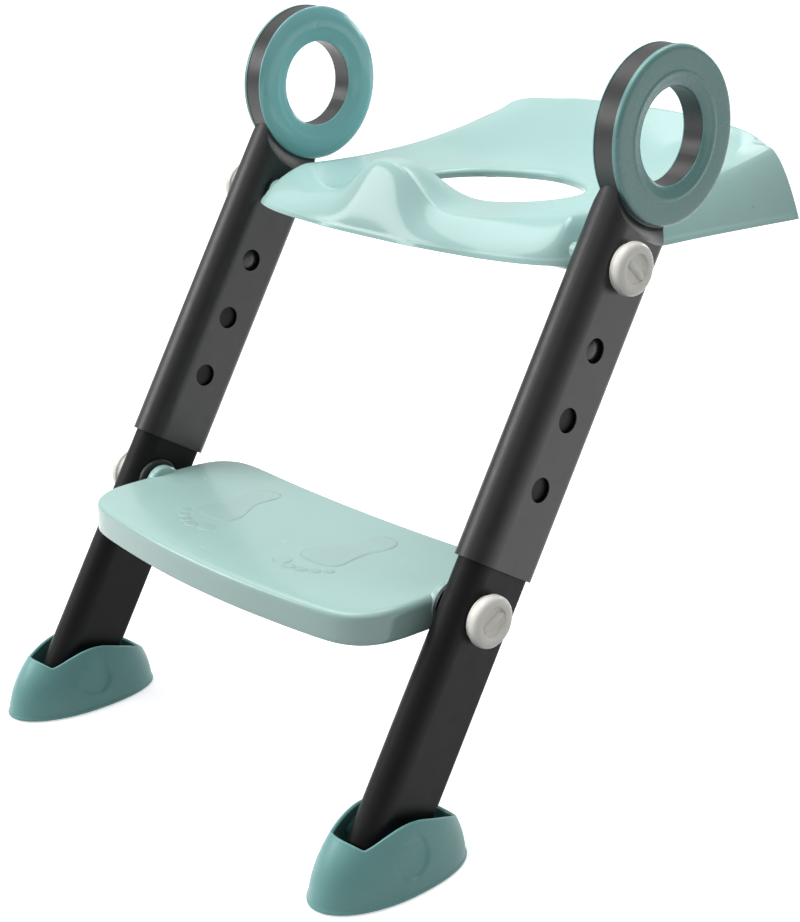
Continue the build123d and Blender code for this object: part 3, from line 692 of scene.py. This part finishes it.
def boot_shell():
    n = 220
    # even the spacing along the outline
    fine = np.linspace(0, 2 * math.pi, 2001)
    fx, fy = boot_outline(0.0, 3.4, fine)
    L = np.concatenate([[0], np.cumsum(np.hypot(np.diff(fx), np.diff(fy)))])
    ang = np.interp(np.arange(n) / n, 0.75 * L / L[-1] + 0.25 * fine / (2 * math.pi), fine)
    base = 0.8
    rows = []

    def put(inset, z):
        x, y = boot_outline(inset, z, ang)
        rows.append(np.stack([x, y, np.broadcast_to(z, x.shape)], 1))

    # underside of the base, then its flange
    put(3.6, base)
    put(-0.2, base)
    put(-0.75, base + 0.4)
    put(-0.8, base + 1.3)
    put(-0.6, base + 1.9)
    put(-0.1, base + 2.35)
    x0, y0 = boot_outline(0.0, 3.4, ang)
    # outer wall: convex, up to the mouth
    m = 34
    for k in range(1, m + 1):
        s = k / m
        # height of this ring follows the mouth's height above each point
        yy = y0.copy()
        for _ in range(6):
            z = 3.4 + (mouth(yy) - 1.0 - 3.4) * s
            x, yn = boot_outline(0.0, z, ang)
            yy = 0.5 * (yy + yn)
        z = 3.4 + (mouth(yy) - 1.0 - 3.4) * s
        x, yy = boot_outline(0.0, z, ang)
        # the round cover over the pivot: a shallow disc let into the wall
        dy, dz = yy - FOOT[1], z - FOOT[2] + 0.8
        cut = smoothstep(14.0, 13.2, np.hypot(dy, dz)) * smoothstep(-13.0, 9.0, -0.85 * dz + 0.53 * dy) * 1.7
        x = x - np.sign(x - LEG_X) * cut
        rows.append(np.stack([x, yy, z], 1))
    # rounded lip
    lipz = rows[-1][:, 2]
    for inset, dz in ((0.3, 0.6), (0.9, 0.95), (1.6, 0.9), (2.2, 0.5), (2.5, -0.1)):
        x, y = boot_outline(inset, lipz, ang)
        rows.append(np.stack([x, y, lipz + dz], 1))
    for k in range(m - 2, 3, -2):
        s = k / m
        yy = y0.copy()
        for _ in range(6):
            z = 3.4 + (mouth(yy) - 1.0 - 3.4) * s
            x, yn = boot_outline(2.6, z, ang)
            yy = 0.5 * (yy + yn)
        z = 3.4 + (mouth(yy) - 1.0 - 3.4) * s
        x, yy = boot_outline(2.6, z, ang)
        rows.append(np.stack([x, yy, z], 1))
    put(4.2, 6.2)
    put(7.0, 5.6)
    v, f = loft(rows)
    nn = len(v)
    cy = float(y0.mean())
    v = np.vstack([v, [[LEG_X, cy, base]], [[LEG_X, cy, 5.4]]])
    last = (len(rows) - 1) * n
    for j in range(n):
        k = (j + 1) % n
        f.append((nn, j, k))
        f.append((nn + 1, last + k, last + j))
    return v, f


boot_v, boot_f = boot_shell()
inner_face = mm_box("leg_foot_plug_right")[0][0]
for side, sx in (("right", 1), ("left", -1)):
    heap = Heap()
    v, f = boot_v, boot_f
    heap.add(*(mirror_x(v, f) if sx < 0 else (v, f)))
    for q in (1, -1):
        # bearing bosses inside the boot
        a, b = LEG_X + q * 12.9, LEG_X + q * 24.4
        prof = round_polygon([(a, 4.1), (a, 8.6), (b, 9.6), (b, 4.1)], [0.3, 0.8, 0.2, 0.2], 3)
        vv, ff = lathe_x([(p[0], p[1]) for p in prof], FOOT, 48)
        heap.add(*(mirror_x(vv, ff) if sx < 0 else (vv, ff)))
    ob = fix_normals(heap.build("boot_moulding_" + side, 45))
    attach(ob, "foot_" + side)
    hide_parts("foot_boot_" + side)
    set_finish(ob, "boot_plastic")


# ------------------------------------------------------------------
# soft grip rings
# ------------------------------------------------------------------
ring_c = np.array([0.0, *(0.5 * (mm_box("grip_ring_outer_right")[0] + mm_box("grip_ring_outer_right")[1]))[1:]])
for side, sx in (("right", 1), ("left", -1)):
    for io, q in (("outer", 1), ("inner", -1)):
        lo, hi = mm_box("grip_ring_%s_right" % io)
        root = lo[0] if q > 0 else hi[0]
        tip = hi[0] if q > 0 else lo[0]
        th = abs(tip - root) - 0.02
        r1 = 0.5 * (hi[1] - lo[1]) - 0.02
        r0 = 30.6
        if io == "outer":
            ctrl = [(0.05, r0 + 0.2), (0.6, r0), (1.2, r0 + 0.4), (1.9, r0 + 1.7), (2.5, r0 + 3.4), (2.95, r0 + 5.4), (th - 0.28, r0 + 7.4), (th - 0.18, r0 + 8.8),
                    (th - 0.42, r0 + 9.8), (th - 0.40, r0 + 11.4), (th - 0.22, r0 + 15.0), (th - 0.05, r0 + 19.0), (th, r1 - 3.4), (th - 0.15, r1 - 2.0), (th - 0.7, r1 - 0.8),
                    (th - 1.5, r1 - 0.15), (1.0, r1), (0.05, r1)]
        else:
            ctrl = [(0.05, r0 + 0.2), (0.6, r0), (1.1, r0 + 0.5), (1.8, r0 + 2.2), (2.5, r0 + 4.6), (3.0, r0 + 7.2), (th - 0.06, r0 + 10.4), (th, r0 + 13.0), (th - 0.12, r0 + 16.0),
                    (th - 0.5, r0 + 19.0), (2.5, r1 - 3.2), (1.8, r1 - 1.4), (1.0, r1 - 0.25), (0.5, r1), (0.05, r1)]
        prof = []
        pts = smooth_profile(ctrl, 4, closed=False)
        n = 168
        rows = []
        for x, r in pts:
            t = np.arange(n) * 2 * math.pi / n
            rows.append(np.stack([np.full(n, root + q * x), ring_c[1] + r * np.cos(t), ring_c[2] + r * np.sin(t)], 1))
        v, f = loft(rows, close_loop=True)
        if io == "inner":
            # the small gate mark left by moulding, near the top
            top = np.array([ring_c[1] - 3.0, ring_c[2] + 42.6])
            d = np.hypot(v[:, 1] - top[0], v[:, 2] - top[1])
            face = np.abs(v[:, 0] - root) > 1.8
            v[:, 0] -= np.where(face, q * 0.6 * np.exp(-(d / 2.0) ** 2), 0.0)
        heap = Heap()
        heap.add(*(mirror_x(v, f) if sx < 0 else (v, f)))
        ob = fix_normals(heap.build("grip_%s_%s" % (io, side), 60))
        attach(ob, "upper_frame")
        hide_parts("grip_ring_%s_%s" % (io, side))
        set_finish(ob, "grip_plastic")


# ------------------------------------------------------------------
# clamping knobs
# ------------------------------------------------------------------
def knob(tag, bar_turn):
    lo, hi = mm_box(tag + "_knob_right")
    axis = HINGE if tag == "seat" else PIVOT
    x0, x1 = lo[0] + 0.05, hi[0] - 0.05
    r = 0.5 * (hi[1] - lo[1]) - 0.03
    heap = Heap()
    n = 96
    prof = [(x0, 0.0)] + [tuple(p) for p in smooth_profile(
        [(x0, 3.2), (x0, r - 3.0), (x0 + 0.5, r - 2.2), (x0 + 2.2, r - 1.6), (x0 + 2.9, r - 1.1), (x0 + 3.5, r - 0.3), (x0 + 4.5, r), (x1 - 3.0, r - 0.15),
         (x1 - 1.4, r - 0.9), (x1 - 0.35, r - 2.3), (x1, r - 4.0), (x1 - 0.1, 10.9), (x1 - 0.5, 10.1), (x1 - 1.9, 9.7), (x1 - 2.55, 9.1), (x1 - 2.7, 7.6), (x1 - 2.7, 2.0)],
        4, closed=False)] + [(x1 - 2.7, 0.0)]
    v, f = lathe_disc_x(prof, axis, n)
    # a soft S-shaped grip bar across the recess
    rr = np.hypot(v[:, 1] - axis[1], v[:, 2] - axis[2])
    heap.add(v, f)
    u = np.array([0.0, math.cos(bar_turn), math.sin(bar_turn)])
    w = np.array([0.0, -math.sin(bar_turn), math.cos(bar_turn)])
    rows = []
    m = 28
    for k in range(m + 1):
        s = -1 + 2 * k / m
        half = 2.9 * math.sqrt(max(0.0, 1 - abs(s) ** 6)) + 0.02
        top = (x1 - 0.25) - 0.5 * s * s
        mid = np.array([0.0, axis[1], axis[2]]) + u * 9.0 * s + w * 2.1 * math.sin(s * math.pi * 0.62)
        sec = []
        for a in np.linspace(-1, 1, 9):
            sec.append(mid + w * half * a * 1.0 + np.array([x1 - 2.9 + (top - x1 + 2.9) * (1 - abs(a) ** 3.0), 0, 0]))
        sec.append(mid - w * half * -1.0 + np.array([x1 - 3.1, 0, 0]))
        sec.append(mid - w * half * 1.0 + np.array([x1 - 3.1, 0, 0]))
        rows.append(sec)
    v, f = loft(np.array(rows), cap_start=True, cap_end=True)
    heap.add(v, f)
    return heap


for tag, turn in (("seat", math.radians(116.0)), ("step", math.radians(10.5))):
    h = knob(tag, turn)
    V, F = np.vstack(h.v), h.f
    for side, sx in (("right", 1), ("left", -1)):
        heap = Heap()
        heap.add(*(mirror_x(V, F) if sx < 0 else (V, F)))
        ob = fix_normals(heap.build("%s_knob_cap_%s" % (tag, side), 50))
        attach(ob, "%s_knob_%s" % (tag, side))
        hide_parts("%s_knob_%s" % (tag, side))
        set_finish(ob, "knob_plastic")


# ------------------------------------------------------------------
# materials
# ------------------------------------------------------------------
def node(tree, kind, x=0, y=0, **inputs):
    n = tree.nodes.new(kind)
    n.location = (x, y)
    for key, value in inputs.items():
        key = key.replace("_", " ")
        if key in n.inputs:
            n.inputs[key].default_value = value
    return n


def srgb(r, g, b):
    def lin(c):
        c = c / 255.0
        return c / 12.92 if c <= 0.04045 else ((c + 0.055) / 1.055) ** 2.4
    return (lin(r), lin(g), lin(b), 1.0)


def moulded(name, colour, rough=(0.3, 0.36), shade=0.05, grain=900.0, grain_depth=0.02, cloud=14.0, coat=0.0, coat_rough=0.08,
            sss=0.0, speck=0.0, flow=0.0, spec=0.5):
    """Injection-moulded plastic: cloudy pigment, fine surface grain, uneven gloss."""
    m = bpy.data.materials.new(name)
    m.use_nodes = True
    t = m.node_tree
    t.nodes.clear()
    out = node(t, "ShaderNodeOutputMaterial", 900)
    p = node(t, "ShaderNodeBsdfPrincipled", 600)
    t.links.new(p.outputs[0], out.inputs[0])
    co = node(t, "ShaderNodeTexCoord", -900)
    n1 = node(t, "ShaderNodeTexNoise", -600, 200, Scale=cloud, Detail=4.0, Roughness=0.55)
    t.links.new(co.outputs["Object"], n1.inputs["Vector"])
    ramp = node(t, "ShaderNodeValToRGB", -350, 200)
    lo = tuple(c * (1 - shade) for c in colour[:3]) + (1.0,)
    hi = tuple(min(1.0, c * (1 + shade)) for c in colour[:3]) + (1.0,)
    ramp.color_ramp.elements[0].position = 0.28
    ramp.color_ramp.elements[0].color = lo
    ramp.color_ramp.elements[1].position = 0.72
    ramp.color_ramp.elements[1].color = hi
    t.links.new(n1.outputs["Fac"], ramp.inputs["Fac"])
    last = ramp.outputs["Color"]
    if speck > 0:
        n3 = node(t, "ShaderNodeTexNoise", -600, -50, Scale=2600.0, Detail=1.0)
        t.links.new(co.outputs["Object"], n3.inputs["Vector"])
        mr = node(t, "ShaderNodeMapRange", -350, -50)
        mr.inputs["From Min"].default_value = 0.35
        mr.inputs["From Max"].default_value = 0.75
        mr.inputs["To Min"].default_value = 0.0
        mr.inputs["To Max"].default_value = speck
        t.links.new(n3.outputs["Fac"], mr.inputs["Value"])
        mx = node(t, "ShaderNodeMix", -100, 100)
        mx.data_type = "RGBA"
        mx.inputs["B"].default_value = tuple(min(1.0, c * 1.6 + 0.02) for c in colour[:3]) + (1.0,)
        for s in mx.inputs:
            if s.name == "B" and s.type == "RGBA":
                s.default_value = tuple(min(1.0, c * 1.6 + 0.02) for c in colour[:3]) + (1.0,)
        a = [s for s in mx.inputs if s.name == "A" and s.type == "RGBA"][0]
        fac = [s for s in mx.inputs if s.name == "Factor" and s.type == "VALUE"][0]
        t.links.new(mr.outputs["Result"], fac)
        t.links.new(last, a)
        last = [s for s in mx.outputs if s.type == "RGBA"][0]
    t.links.new(last, p.inputs["Base Color"])
    n2 = node(t, "ShaderNodeTexNoise", -600, -300, Scale=cloud * 3.1, Detail=5.0, Roughness=0.6)
    t.links.new(co.outputs["Object"], n2.inputs["Vector"])
    r = node(t, "ShaderNodeMapRange", -350, -300)
    r.inputs["From Min"].default_value = 0.3
    r.inputs["From Max"].default_value = 0.7
    r.inputs["To Min"].default_value = rough[0]
    r.inputs["To Max"].default_value = rough[1]
    t.links.new(n2.outputs["Fac"], r.inputs["Value"])
    t.links.new(r.outputs["Result"], p.inputs["Roughness"])
    g = node(t, "ShaderNodeTexNoise", -600, -600, Scale=grain, Detail=3.0, Roughness=0.65)
    t.links.new(co.outputs["Object"], g.inputs["Vector"])
    b = node(t, "ShaderNodeBump", 200, -500, Strength=1.0, Distance=grain_depth * MM)
    t.links.new(g.outputs["Fac"], b.inputs["Height"])
    normal = b.outputs["Normal"]
    if flow > 0:
        w = node(t, "ShaderNodeTexNoise", -600, -850, Scale=9.0, Detail=2.0)
        t.links.new(co.outputs["Object"], w.inputs["Vector"])
        b2 = node(t, "ShaderNodeBump", 400, -600, Strength=1.0, Distance=flow * MM)
        t.links.new(w.outputs["Fac"], b2.inputs["Height"])
        t.links.new(normal, b2.inputs["Normal"])
        normal = b2.outputs["Normal"]
    t.links.new(normal, p.inputs["Normal"])
    p.inputs["Specular IOR Level"].default_value = spec
    p.inputs["Coat Weight"].default_value = coat
    p.inputs["Coat Roughness"].default_value = coat_rough
    if sss > 0:
        p.inputs["Subsurface Weight"].default_value = sss
        p.inputs["Subsurface Radius"].default_value = (0.6, 1.0, 0.95)
        p.inputs["Subsurface Scale"].default_value = 0.003
    return m


def metal(name, colour, rough=(0.25, 0.4), ring=0.0):
    m = bpy.data.materials.new(name)
    m.use_nodes = True
    t = m.node_tree
    p = t.nodes["Principled BSDF"]
    p.inputs["Metallic"].default_value = 1.0
    co = node(t, "ShaderNodeTexCoord", -900)
    mp = node(t, "ShaderNodeMapping", -750)
    mp.inputs["Scale"].default_value = (40.0, 900.0, 900.0)
    t.links.new(co.outputs["Object"], mp.inputs["Vector"])
    n1 = node(t, "ShaderNodeTexNoise", -550, 0, Scale=1.0, Detail=4.0)
    t.links.new(mp.outputs[0], n1.inputs["Vector"])
    ramp = node(t, "ShaderNodeValToRGB", -300, 200)
    ramp.color_ramp.elements[0].color = tuple(c * 0.82 for c in colour[:3]) + (1.0,)
    ramp.color_ramp.elements[1].color = tuple(min(1, c * 1.1) for c in colour[:3]) + (1.0,)
    t.links.new(n1.outputs["Fac"], ramp.inputs["Fac"])
    t.links.new(ramp.outputs[0], p.inputs["Base Color"])
    r = node(t, "ShaderNodeMapRange", -300, -100)
    r.inputs["To Min"].default_value = rough[0]
    r.inputs["To Max"].default_value = rough[1]
    t.links.new(n1.outputs["Fac"], r.inputs["Value"])
    t.links.new(r.outputs["Result"], p.inputs["Roughness"])
    b = node(t, "ShaderNodeBump", -100, -300, Strength=0.6, Distance=0.01 * MM)
    t.links.new(n1.outputs["Fac"], b.inputs["Height"])
    t.links.new(b.outputs["Normal"], p.inputs["Normal"])
    return m


MINT = srgb(169, 205, 201)
STEP_C_ = srgb(164, 197, 192)
TEAL = srgb(109, 163, 160)
GRIP = srgb(115, 164, 161)
# painted light: a lighter colour for the inner grip faces, standing in for the brighter light and highlights they
# catch; all the grips are one plastic
GRIP_INNER_PAINTED_LIGHT = srgb(131, 192, 194)
mats = {
    "mint_plastic": moulded("seat_plastic_mat", MINT, rough=(0.12, 0.18), shade=0.018, grain=700.0, grain_depth=0.004, cloud=9.0, coat=0.06,
                            coat_rough=0.04, sss=0.15, flow=0.05, spec=0.36),
    "step_plastic": moulded("step_plastic_mat", STEP_C_, rough=(0.20, 0.28), shade=0.025, grain=800.0, grain_depth=0.008, cloud=12.0, coat=0.15,
                            coat_rough=0.12, sss=0.2, flow=0.05),
    "boot_plastic": moulded("boot_plastic_mat", TEAL, rough=(0.34, 0.44), shade=0.05, grain=1100.0, grain_depth=0.02, cloud=24.0, sss=0.1),
    "grip_plastic": moulded("grip_plastic_mat", GRIP, rough=(0.24, 0.30), shade=0.02, grain=1000.0, grain_depth=0.006, cloud=20.0, sss=0.12),
    "grip_plastic_in": moulded("grip_inner_mat", GRIP_INNER_PAINTED_LIGHT, rough=(0.18, 0.23), shade=0.02, grain=1000.0, grain_depth=0.005, cloud=20.0, sss=0.12, coat=0.2),
    "dark_plastic": moulded("dark_plastic_mat", srgb(17, 17, 18), rough=(0.34, 0.41), shade=0.10, grain=1500.0, grain_depth=0.03, cloud=30.0, speck=0.08, spec=0.58),
    # painted shade: a darker, less shiny copy of the dark plastic for the lower tubes, standing in for the light
    # falling off down the legs; upper and lower tubes are the one dark plastic
    "dark_plastic_painted_shade": moulded("dark_lower_mat", srgb(15, 15, 16), rough=(0.42, 0.50), shade=0.10, grain=1500.0, grain_depth=0.03, cloud=30.0, speck=0.06, spec=0.19),
    "button_plastic": moulded("button_plastic_mat", srgb(34, 35, 37), rough=(0.26, 0.34), shade=0.06, grain=1200.0, grain_depth=0.01, cloud=50.0),
    "knob_plastic": moulded("knob_plastic_mat", srgb(247, 245, 237), rough=(0.26, 0.36), shade=0.02, grain=1300.0, grain_depth=0.012, cloud=60.0, sss=0.15),
    "black_plastic": moulded("black_plastic_mat", srgb(34, 36, 38), rough=(0.36, 0.5), shade=0.1, grain=1200.0, grain_depth=0.02, cloud=60.0),
    "pad_rubber": moulded("pad_rubber_mat", srgb(92, 98, 97), rough=(0.6, 0.8), shade=0.08, grain=900.0, grain_depth=0.06, cloud=50.0, spec=0.3),
    "bolt_steel": metal("bolt_steel_mat", (0.62, 0.62, 0.63, 1)),
    "spring_steel": metal("spring_steel_mat", (0.5, 0.5, 0.52, 1)),
    "insert_brass": metal("insert_brass_mat", (0.78, 0.6, 0.27, 1)),
}
slot_of = {s["node"]: s["material_slot"] for s in frame["record"]["subparts"]}
for name, ob in nodes.items():
    # the lower tubes take the darker copy of the dark plastic, as painted shade
    mat = mats["dark_plastic_painted_shade" if name.startswith("lower_leg") else slot_of[name]]
    ob.data.materials.clear()
    ob.data.materials.append(mat)
for ob in bpy.data.objects:
    if ob.type == "MESH" and ob.name not in nodes and "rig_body" in ob:
        s = ob.get("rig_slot") or None
        key = s
        # the inner grips take the lighter, glossier copy of the grip plastic, as painted light
        if ob.name.startswith("grip_inner"):
            key = "grip_plastic_in"
        if key is None:
            for pre, k in (("seat_moulding", "mint_plastic"), ("step_moulding", "step_plastic"), ("boot_moulding", "boot_plastic"),
                           ("grip_", "grip_plastic"), ("seat_knob_cap", "knob_plastic"), ("step_knob_cap", "knob_plastic")):
                if ob.name.startswith(pre):
                    key = k
        ob.data.materials.clear()
        ob.data.materials.append(mats[key])


# ------------------------------------------------------------------
# floor, light and camera
# ------------------------------------------------------------------
floor_me = bpy.data.meshes.new("floor")
S = 14.0
floor_me.from_pydata([(-S, -S, 0), (S, -S, 0), (S, S, 0), (-S, S, 0)], [], [(0, 1, 2, 3)])
floor = bpy.data.objects.new("studio_floor", floor_me)
scene.collection.objects.link(floor)
fm = bpy.data.materials.new("studio_floor_mat")
fm.use_nodes = True
ft = fm.node_tree
fp = ft.nodes["Principled BSDF"]
fco = node(ft, "ShaderNodeTexCoord", -700)
fn = node(ft, "ShaderNodeTexNoise", -500, 0, Scale=1.5, Detail=2.0)
ft.links.new(fco.outputs["Object"], fn.inputs["Vector"])
fr = node(ft, "ShaderNodeValToRGB", -250, 0)
fr.color_ramp.elements[0].color = (0.90, 0.90, 0.90, 1)
fr.color_ramp.elements[1].color = (0.93, 0.93, 0.93, 1)
ft.links.new(fn.outputs["Fac"], fr.inputs["Fac"])
ft.links.new(fr.outputs[0], fp.inputs["Base Color"])
fp.inputs["Roughness"].default_value = 0.9
fp.inputs["Specular IOR Level"].default_value = 0.1
fp.inputs["Emission Color"].default_value = (1.0, 1.0, 1.0, 1.0)
fp.inputs["Emission Strength"].default_value = 0.50
fm.cycles.emission_sampling = "NONE"
floor_me.materials.append(fm)
floor.visible_diffuse = False

# a round pale backdrop far behind, so that low views have no horizon; it neither lights nor shades the object
wall_me = bpy.data.meshes.new("studio_wall")
ring_pts = [(13.5 * math.cos(2 * math.pi * k / 96), 13.5 * math.sin(2 * math.pi * k / 96)) for k in range(96)]
wall_me.from_pydata([(x, y, z) for z in (-0.01, 16.0) for x, y in ring_pts], [],
                    [(k, (k + 1) % 96, 96 + (k + 1) % 96, 96 + k) for k in range(96)])
wall_ob = bpy.data.objects.new("studio_wall", wall_me)
scene.collection.objects.link(wall_ob)
wm_mat = bpy.data.materials.new("studio_wall_mat")
wm_mat.use_nodes = True
wt0 = wm_mat.node_tree
wp = wt0.nodes["Principled BSDF"]
wn = node(wt0, "ShaderNodeTexNoise", -500, 0, Scale=0.3, Detail=2.0)
wco0 = node(wt0, "ShaderNodeTexCoord", -700)
wt0.links.new(wco0.outputs["Object"], wn.inputs["Vector"])
wr0 = node(wt0, "ShaderNodeValToRGB", -250, 0)
wr0.color_ramp.elements[0].color = (0.97, 0.97, 0.97, 1)
wr0.color_ramp.elements[1].color = (1.0, 1.0, 1.0, 1)
wt0.links.new(wn.outputs["Fac"], wr0.inputs["Fac"])
wt0.links.new(wr0.outputs[0], wp.inputs["Emission Color"])
wp.inputs["Emission Strength"].default_value = 1.15
wp.inputs["Base Color"].default_value = (0.9, 0.9, 0.9, 1)
wp.inputs["Roughness"].default_value = 0.9
wm_mat.cycles.emission_sampling = "NONE"
wall_me.materials.append(wm_mat)
for flag in ("visible_diffuse", "visible_glossy", "visible_transmission", "visible_volume_scatter", "visible_shadow"):
    setattr(wall_ob, flag, False)

# a white studio all round, dimmer below the object and on the side where one stands to look
world = bpy.data.worlds.new("studio_world")
scene.world = world
world.use_nodes = True
wt = world.node_tree
bg = wt.nodes["Background"]
wco = node(wt, "ShaderNodeTexCoord", -900)
wz = node(wt, "ShaderNodeSeparateXYZ", -700, 100)
wt.links.new(wco.outputs["Generated"], wz.inputs[0])
wr = node(wt, "ShaderNodeMapRange", -500, 100)
wr.inputs["From Min"].default_value = -1.0
wr.inputs["From Max"].default_value = 1.0
wt.links.new(wz.outputs["Z"], wr.inputs["Value"])
wramp = node(wt, "ShaderNodeValToRGB", -300, 100)
e = wramp.color_ramp.elements
e[0].position, e[0].color = 0.0, (0.22, 0.23, 0.24, 1)
e[1].position, e[1].color = 1.0, (1.0, 1.0, 1.0, 1)
for pos, val in ((0.42, 0.36), (0.53, 0.62), (0.75, 0.86)):
    k = e.new(pos)
    k.color = (val, val * 1.005, val * 1.01, 1)
wt.links.new(wr.outputs["Result"], wramp.inputs["Fac"])
wd = node(wt, "ShaderNodeVectorMath", -700, -200)
wd.operation = "DOT_PRODUCT"
wd.inputs[1].default_value = (0.72, -0.67, 0.18)
wt.links.new(wco.outputs["Generated"], wd.inputs[0])
wr2 = node(wt, "ShaderNodeMapRange", -500, -200)
wr2.inputs["From Min"].default_value = 0.72
wr2.inputs["From Max"].default_value = 0.97
wr2.inputs["To Min"].default_value = 1.0
wr2.inputs["To Max"].default_value = 0.30
wt.links.new(wd.outputs["Value"], wr2.inputs["Value"])
wd3 = node(wt, "ShaderNodeVectorMath", -700, -450)
wd3.operation = "DOT_PRODUCT"
wd3.inputs[1].default_value = (0.57, 0.68, 0.46)
wt.links.new(wco.outputs["Generated"], wd3.inputs[0])
wr3 = node(wt, "ShaderNodeMapRange", -500, -450)
wr3.inputs["From Min"].default_value = 0.78
wr3.inputs["From Max"].default_value = 0.96
wr3.inputs["To Min"].default_value = 1.0
wr3.inputs["To Max"].default_value = 0.35
wt.links.new(wd3.outputs["Value"], wr3.inputs["Value"])
wm = node(wt, "ShaderNodeVectorMath", -100, 0)
wm.operation = "MULTIPLY"
wt.links.new(wramp.outputs["Color"], wm.inputs[0])
wt.links.new(wr2.outputs["Result"], wm.inputs[1])
wm3 = node(wt, "ShaderNodeVectorMath", 0, -200)
wm3.operation = "MULTIPLY"
wt.links.new(wm.outputs[0], wm3.inputs[0])
wt.links.new(wr3.outputs["Result"], wm3.inputs[1])
wt.links.new(wm3.outputs[0], bg.inputs["Color"])
bg.inputs["Strength"].default_value = 0.84


def area(name, loc, target, size, power, colour=(1, 1, 1), shape="RECTANGLE", size_y=None):
    d = bpy.data.lights.new(name, "AREA")
    d.shape = shape
    d.size = size
    if size_y:
        d.size_y = size_y
    d.energy = power
    d.color = colour
    o = bpy.data.objects.new(name, d)
    o.location = loc
    o.rotation_euler = (Vector(target) - Vector(loc)).to_track_quat("-Z", "Y").to_euler()
    scene.collection.objects.link(o)
    return o


sun = bpy.data.lights.new("window_sun", "SUN")
sun.energy = 1.18
sun.angle = math.radians(40)
sun_ob = bpy.data.objects.new("window_sun", sun)
sun_ob.rotation_euler = Vector((0.40, 0.10, -1.0)).to_track_quat("-Z", "Y").to_euler()
scene.collection.objects.link(sun_ob)
mid = Vector((0.0, 0.0, 0.3))
area("softbox_left", (-1.66, -1.50, 1.27), (0.05, -0.02, 0.36), 1.32, 17.0, size_y=0.8)
fill = area("fill_left", (-1.6, -1.6, 1.5), (0.0, 0.0, 0.36), 1.6, 8.0, size_y=1.2)
fill.visible_glossy = False
area("softbox_back", (0.0, 2.1, 0.95), (0.0, 0.0, 0.40), 1.5, 13.0, size_y=0.5)
area("softbox_top", (-0.1, 0.9, 1.9), (0.0, 0.1, 0.4), 0.9, 8.0, size_y=0.6)

cam_d = bpy.data.cameras.new("camera")
cam_d.sensor_width = 36.0
cam_d.sensor_fit = "AUTO"
cam_d.lens = 70.459
cam_d.clip_start = 0.05
cam_d.clip_end = 60.0
cam = bpy.data.objects.new("camera", cam_d)
scene.collection.objects.link(cam)
az, el, roll = math.radians(46.907), math.radians(18.908), math.radians(0.4222)
right = Vector((math.cos(az), math.sin(az), 0))
back = Vector((math.sin(az) * math.cos(el), -math.cos(az) * math.cos(el), math.sin(el)))
up = Vector((-math.sin(az) * math.sin(el), math.cos(az) * math.sin(el), math.cos(el)))
cx = right * math.cos(roll) + up * math.sin(roll)
cy = -right * math.sin(roll) + up * math.cos(roll)
m = Matrix((cx, cy, back)).transposed().to_4x4()
m.translation = Vector((0.87601, -0.82462, 0.59899))
cam.matrix_world = m
scene.camera = cam
